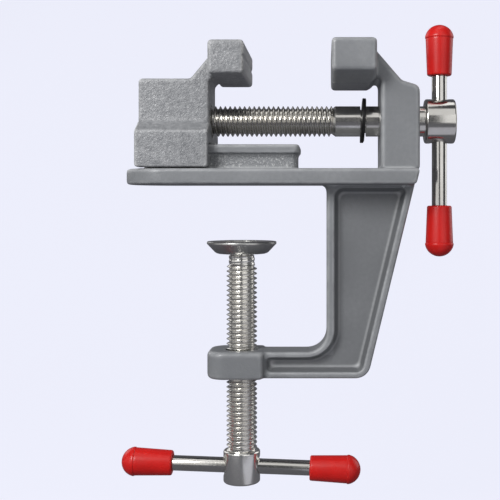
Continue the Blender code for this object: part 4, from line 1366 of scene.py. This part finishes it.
cap_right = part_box("clamp_bar_cap_right")
cap_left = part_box("clamp_bar_cap_left")
clamp_bar_axis = (cap_right[0] + cap_right[1] - cap_left[0] - cap_left[1]) / 2
bar_with_caps(
    "clamp_bar", "clamp_bar", (("clamp_bar_cap_right", 1), ("clamp_bar_cap_left", -1)), clamp_bar_axis
)


# Swivel pad: a dished steel washer that turns on the clamp screw's pivot, dull plated. Its flat face,
# with a sunk seat for the rivet head, presses up under the table.
PAD_RADIUS = 9.0 * MM
PAD_FOOT = 6.5 * MM
PAD_RIM = 0.6 * MM
PAD_RECESS = 4.5 * MM
PAD_RECESS_DEEP = 1.6 * MM
PAD_HOLE = 2.7 * MM
PAD_LIP_ROUND = 0.25 * MM
PAD_FOOT_ROUND = 0.8 * MM
pad_profile = [
    (PAD_RECESS, pad_high.z),
    *arc(PAD_LIP_ROUND, PAD_RADIUS - PAD_LIP_ROUND, pad_high.z - PAD_LIP_ROUND, 90, 0),
    (PAD_RADIUS, pad_high.z - PAD_RIM),
    (PAD_FOOT + PAD_FOOT_ROUND, pad_low.z + PAD_FOOT_ROUND),
    (PAD_FOOT + PAD_FOOT_ROUND / 2, pad_low.z + PAD_FOOT_ROUND / 2),
    (PAD_FOOT, pad_low.z + PAD_FOOT_ROUND / 5),
    (PAD_FOOT - PAD_FOOT_ROUND / 2, pad_low.z + PAD_FOOT_ROUND / 20),
    (PAD_FOOT - PAD_FOOT_ROUND, pad_low.z),
    (PAD_HOLE, pad_low.z),
    (PAD_HOLE, pad_high.z - PAD_RECESS_DEEP),
    (PAD_RECESS, pad_high.z - PAD_RECESS_DEEP),
]
pad = turned(pad_profile)
pad.location = (CLAMP_X, 0, 0)
pad_mesh = finished(pad)
clear_workshop()

DULL_PLATE = (0.430, 0.430, 0.420, 1.0)
DULL_DARK = (0.330, 0.330, 0.325, 1.0)
DULL_LINE_RANGE = (0.3, 0.7)
DULL_GLOSS = (0.28, 0.42)
DULL_LINE_DEEP = 0.012 * MM
dull, tree, shader = new_material("dull plated steel")
skin = place_group(tree, SKIN, Scale=500.0, Tone_Scale=160.0)
lines = place_group(tree, SKIN, Scale=900.0, Stretch=(1.0, 1.0, 5.0))["Height"]
feed_named(
    tree, shader, Metallic=1.0,
    Base_Color=worn_colour(tree, skin, DULL_PLATE, DULL_DARK, NICKEL_EDGE),
    Roughness=map_node(tree, lines, *DULL_LINE_RANGE, *DULL_GLOSS),
    Normal=bump_node(tree, lines, DULL_LINE_DEEP),
)
new_piece("dished_pad", pad_mesh, "pad", "swivel_pad", dull)
bpy.data.collections.remove(workshop)
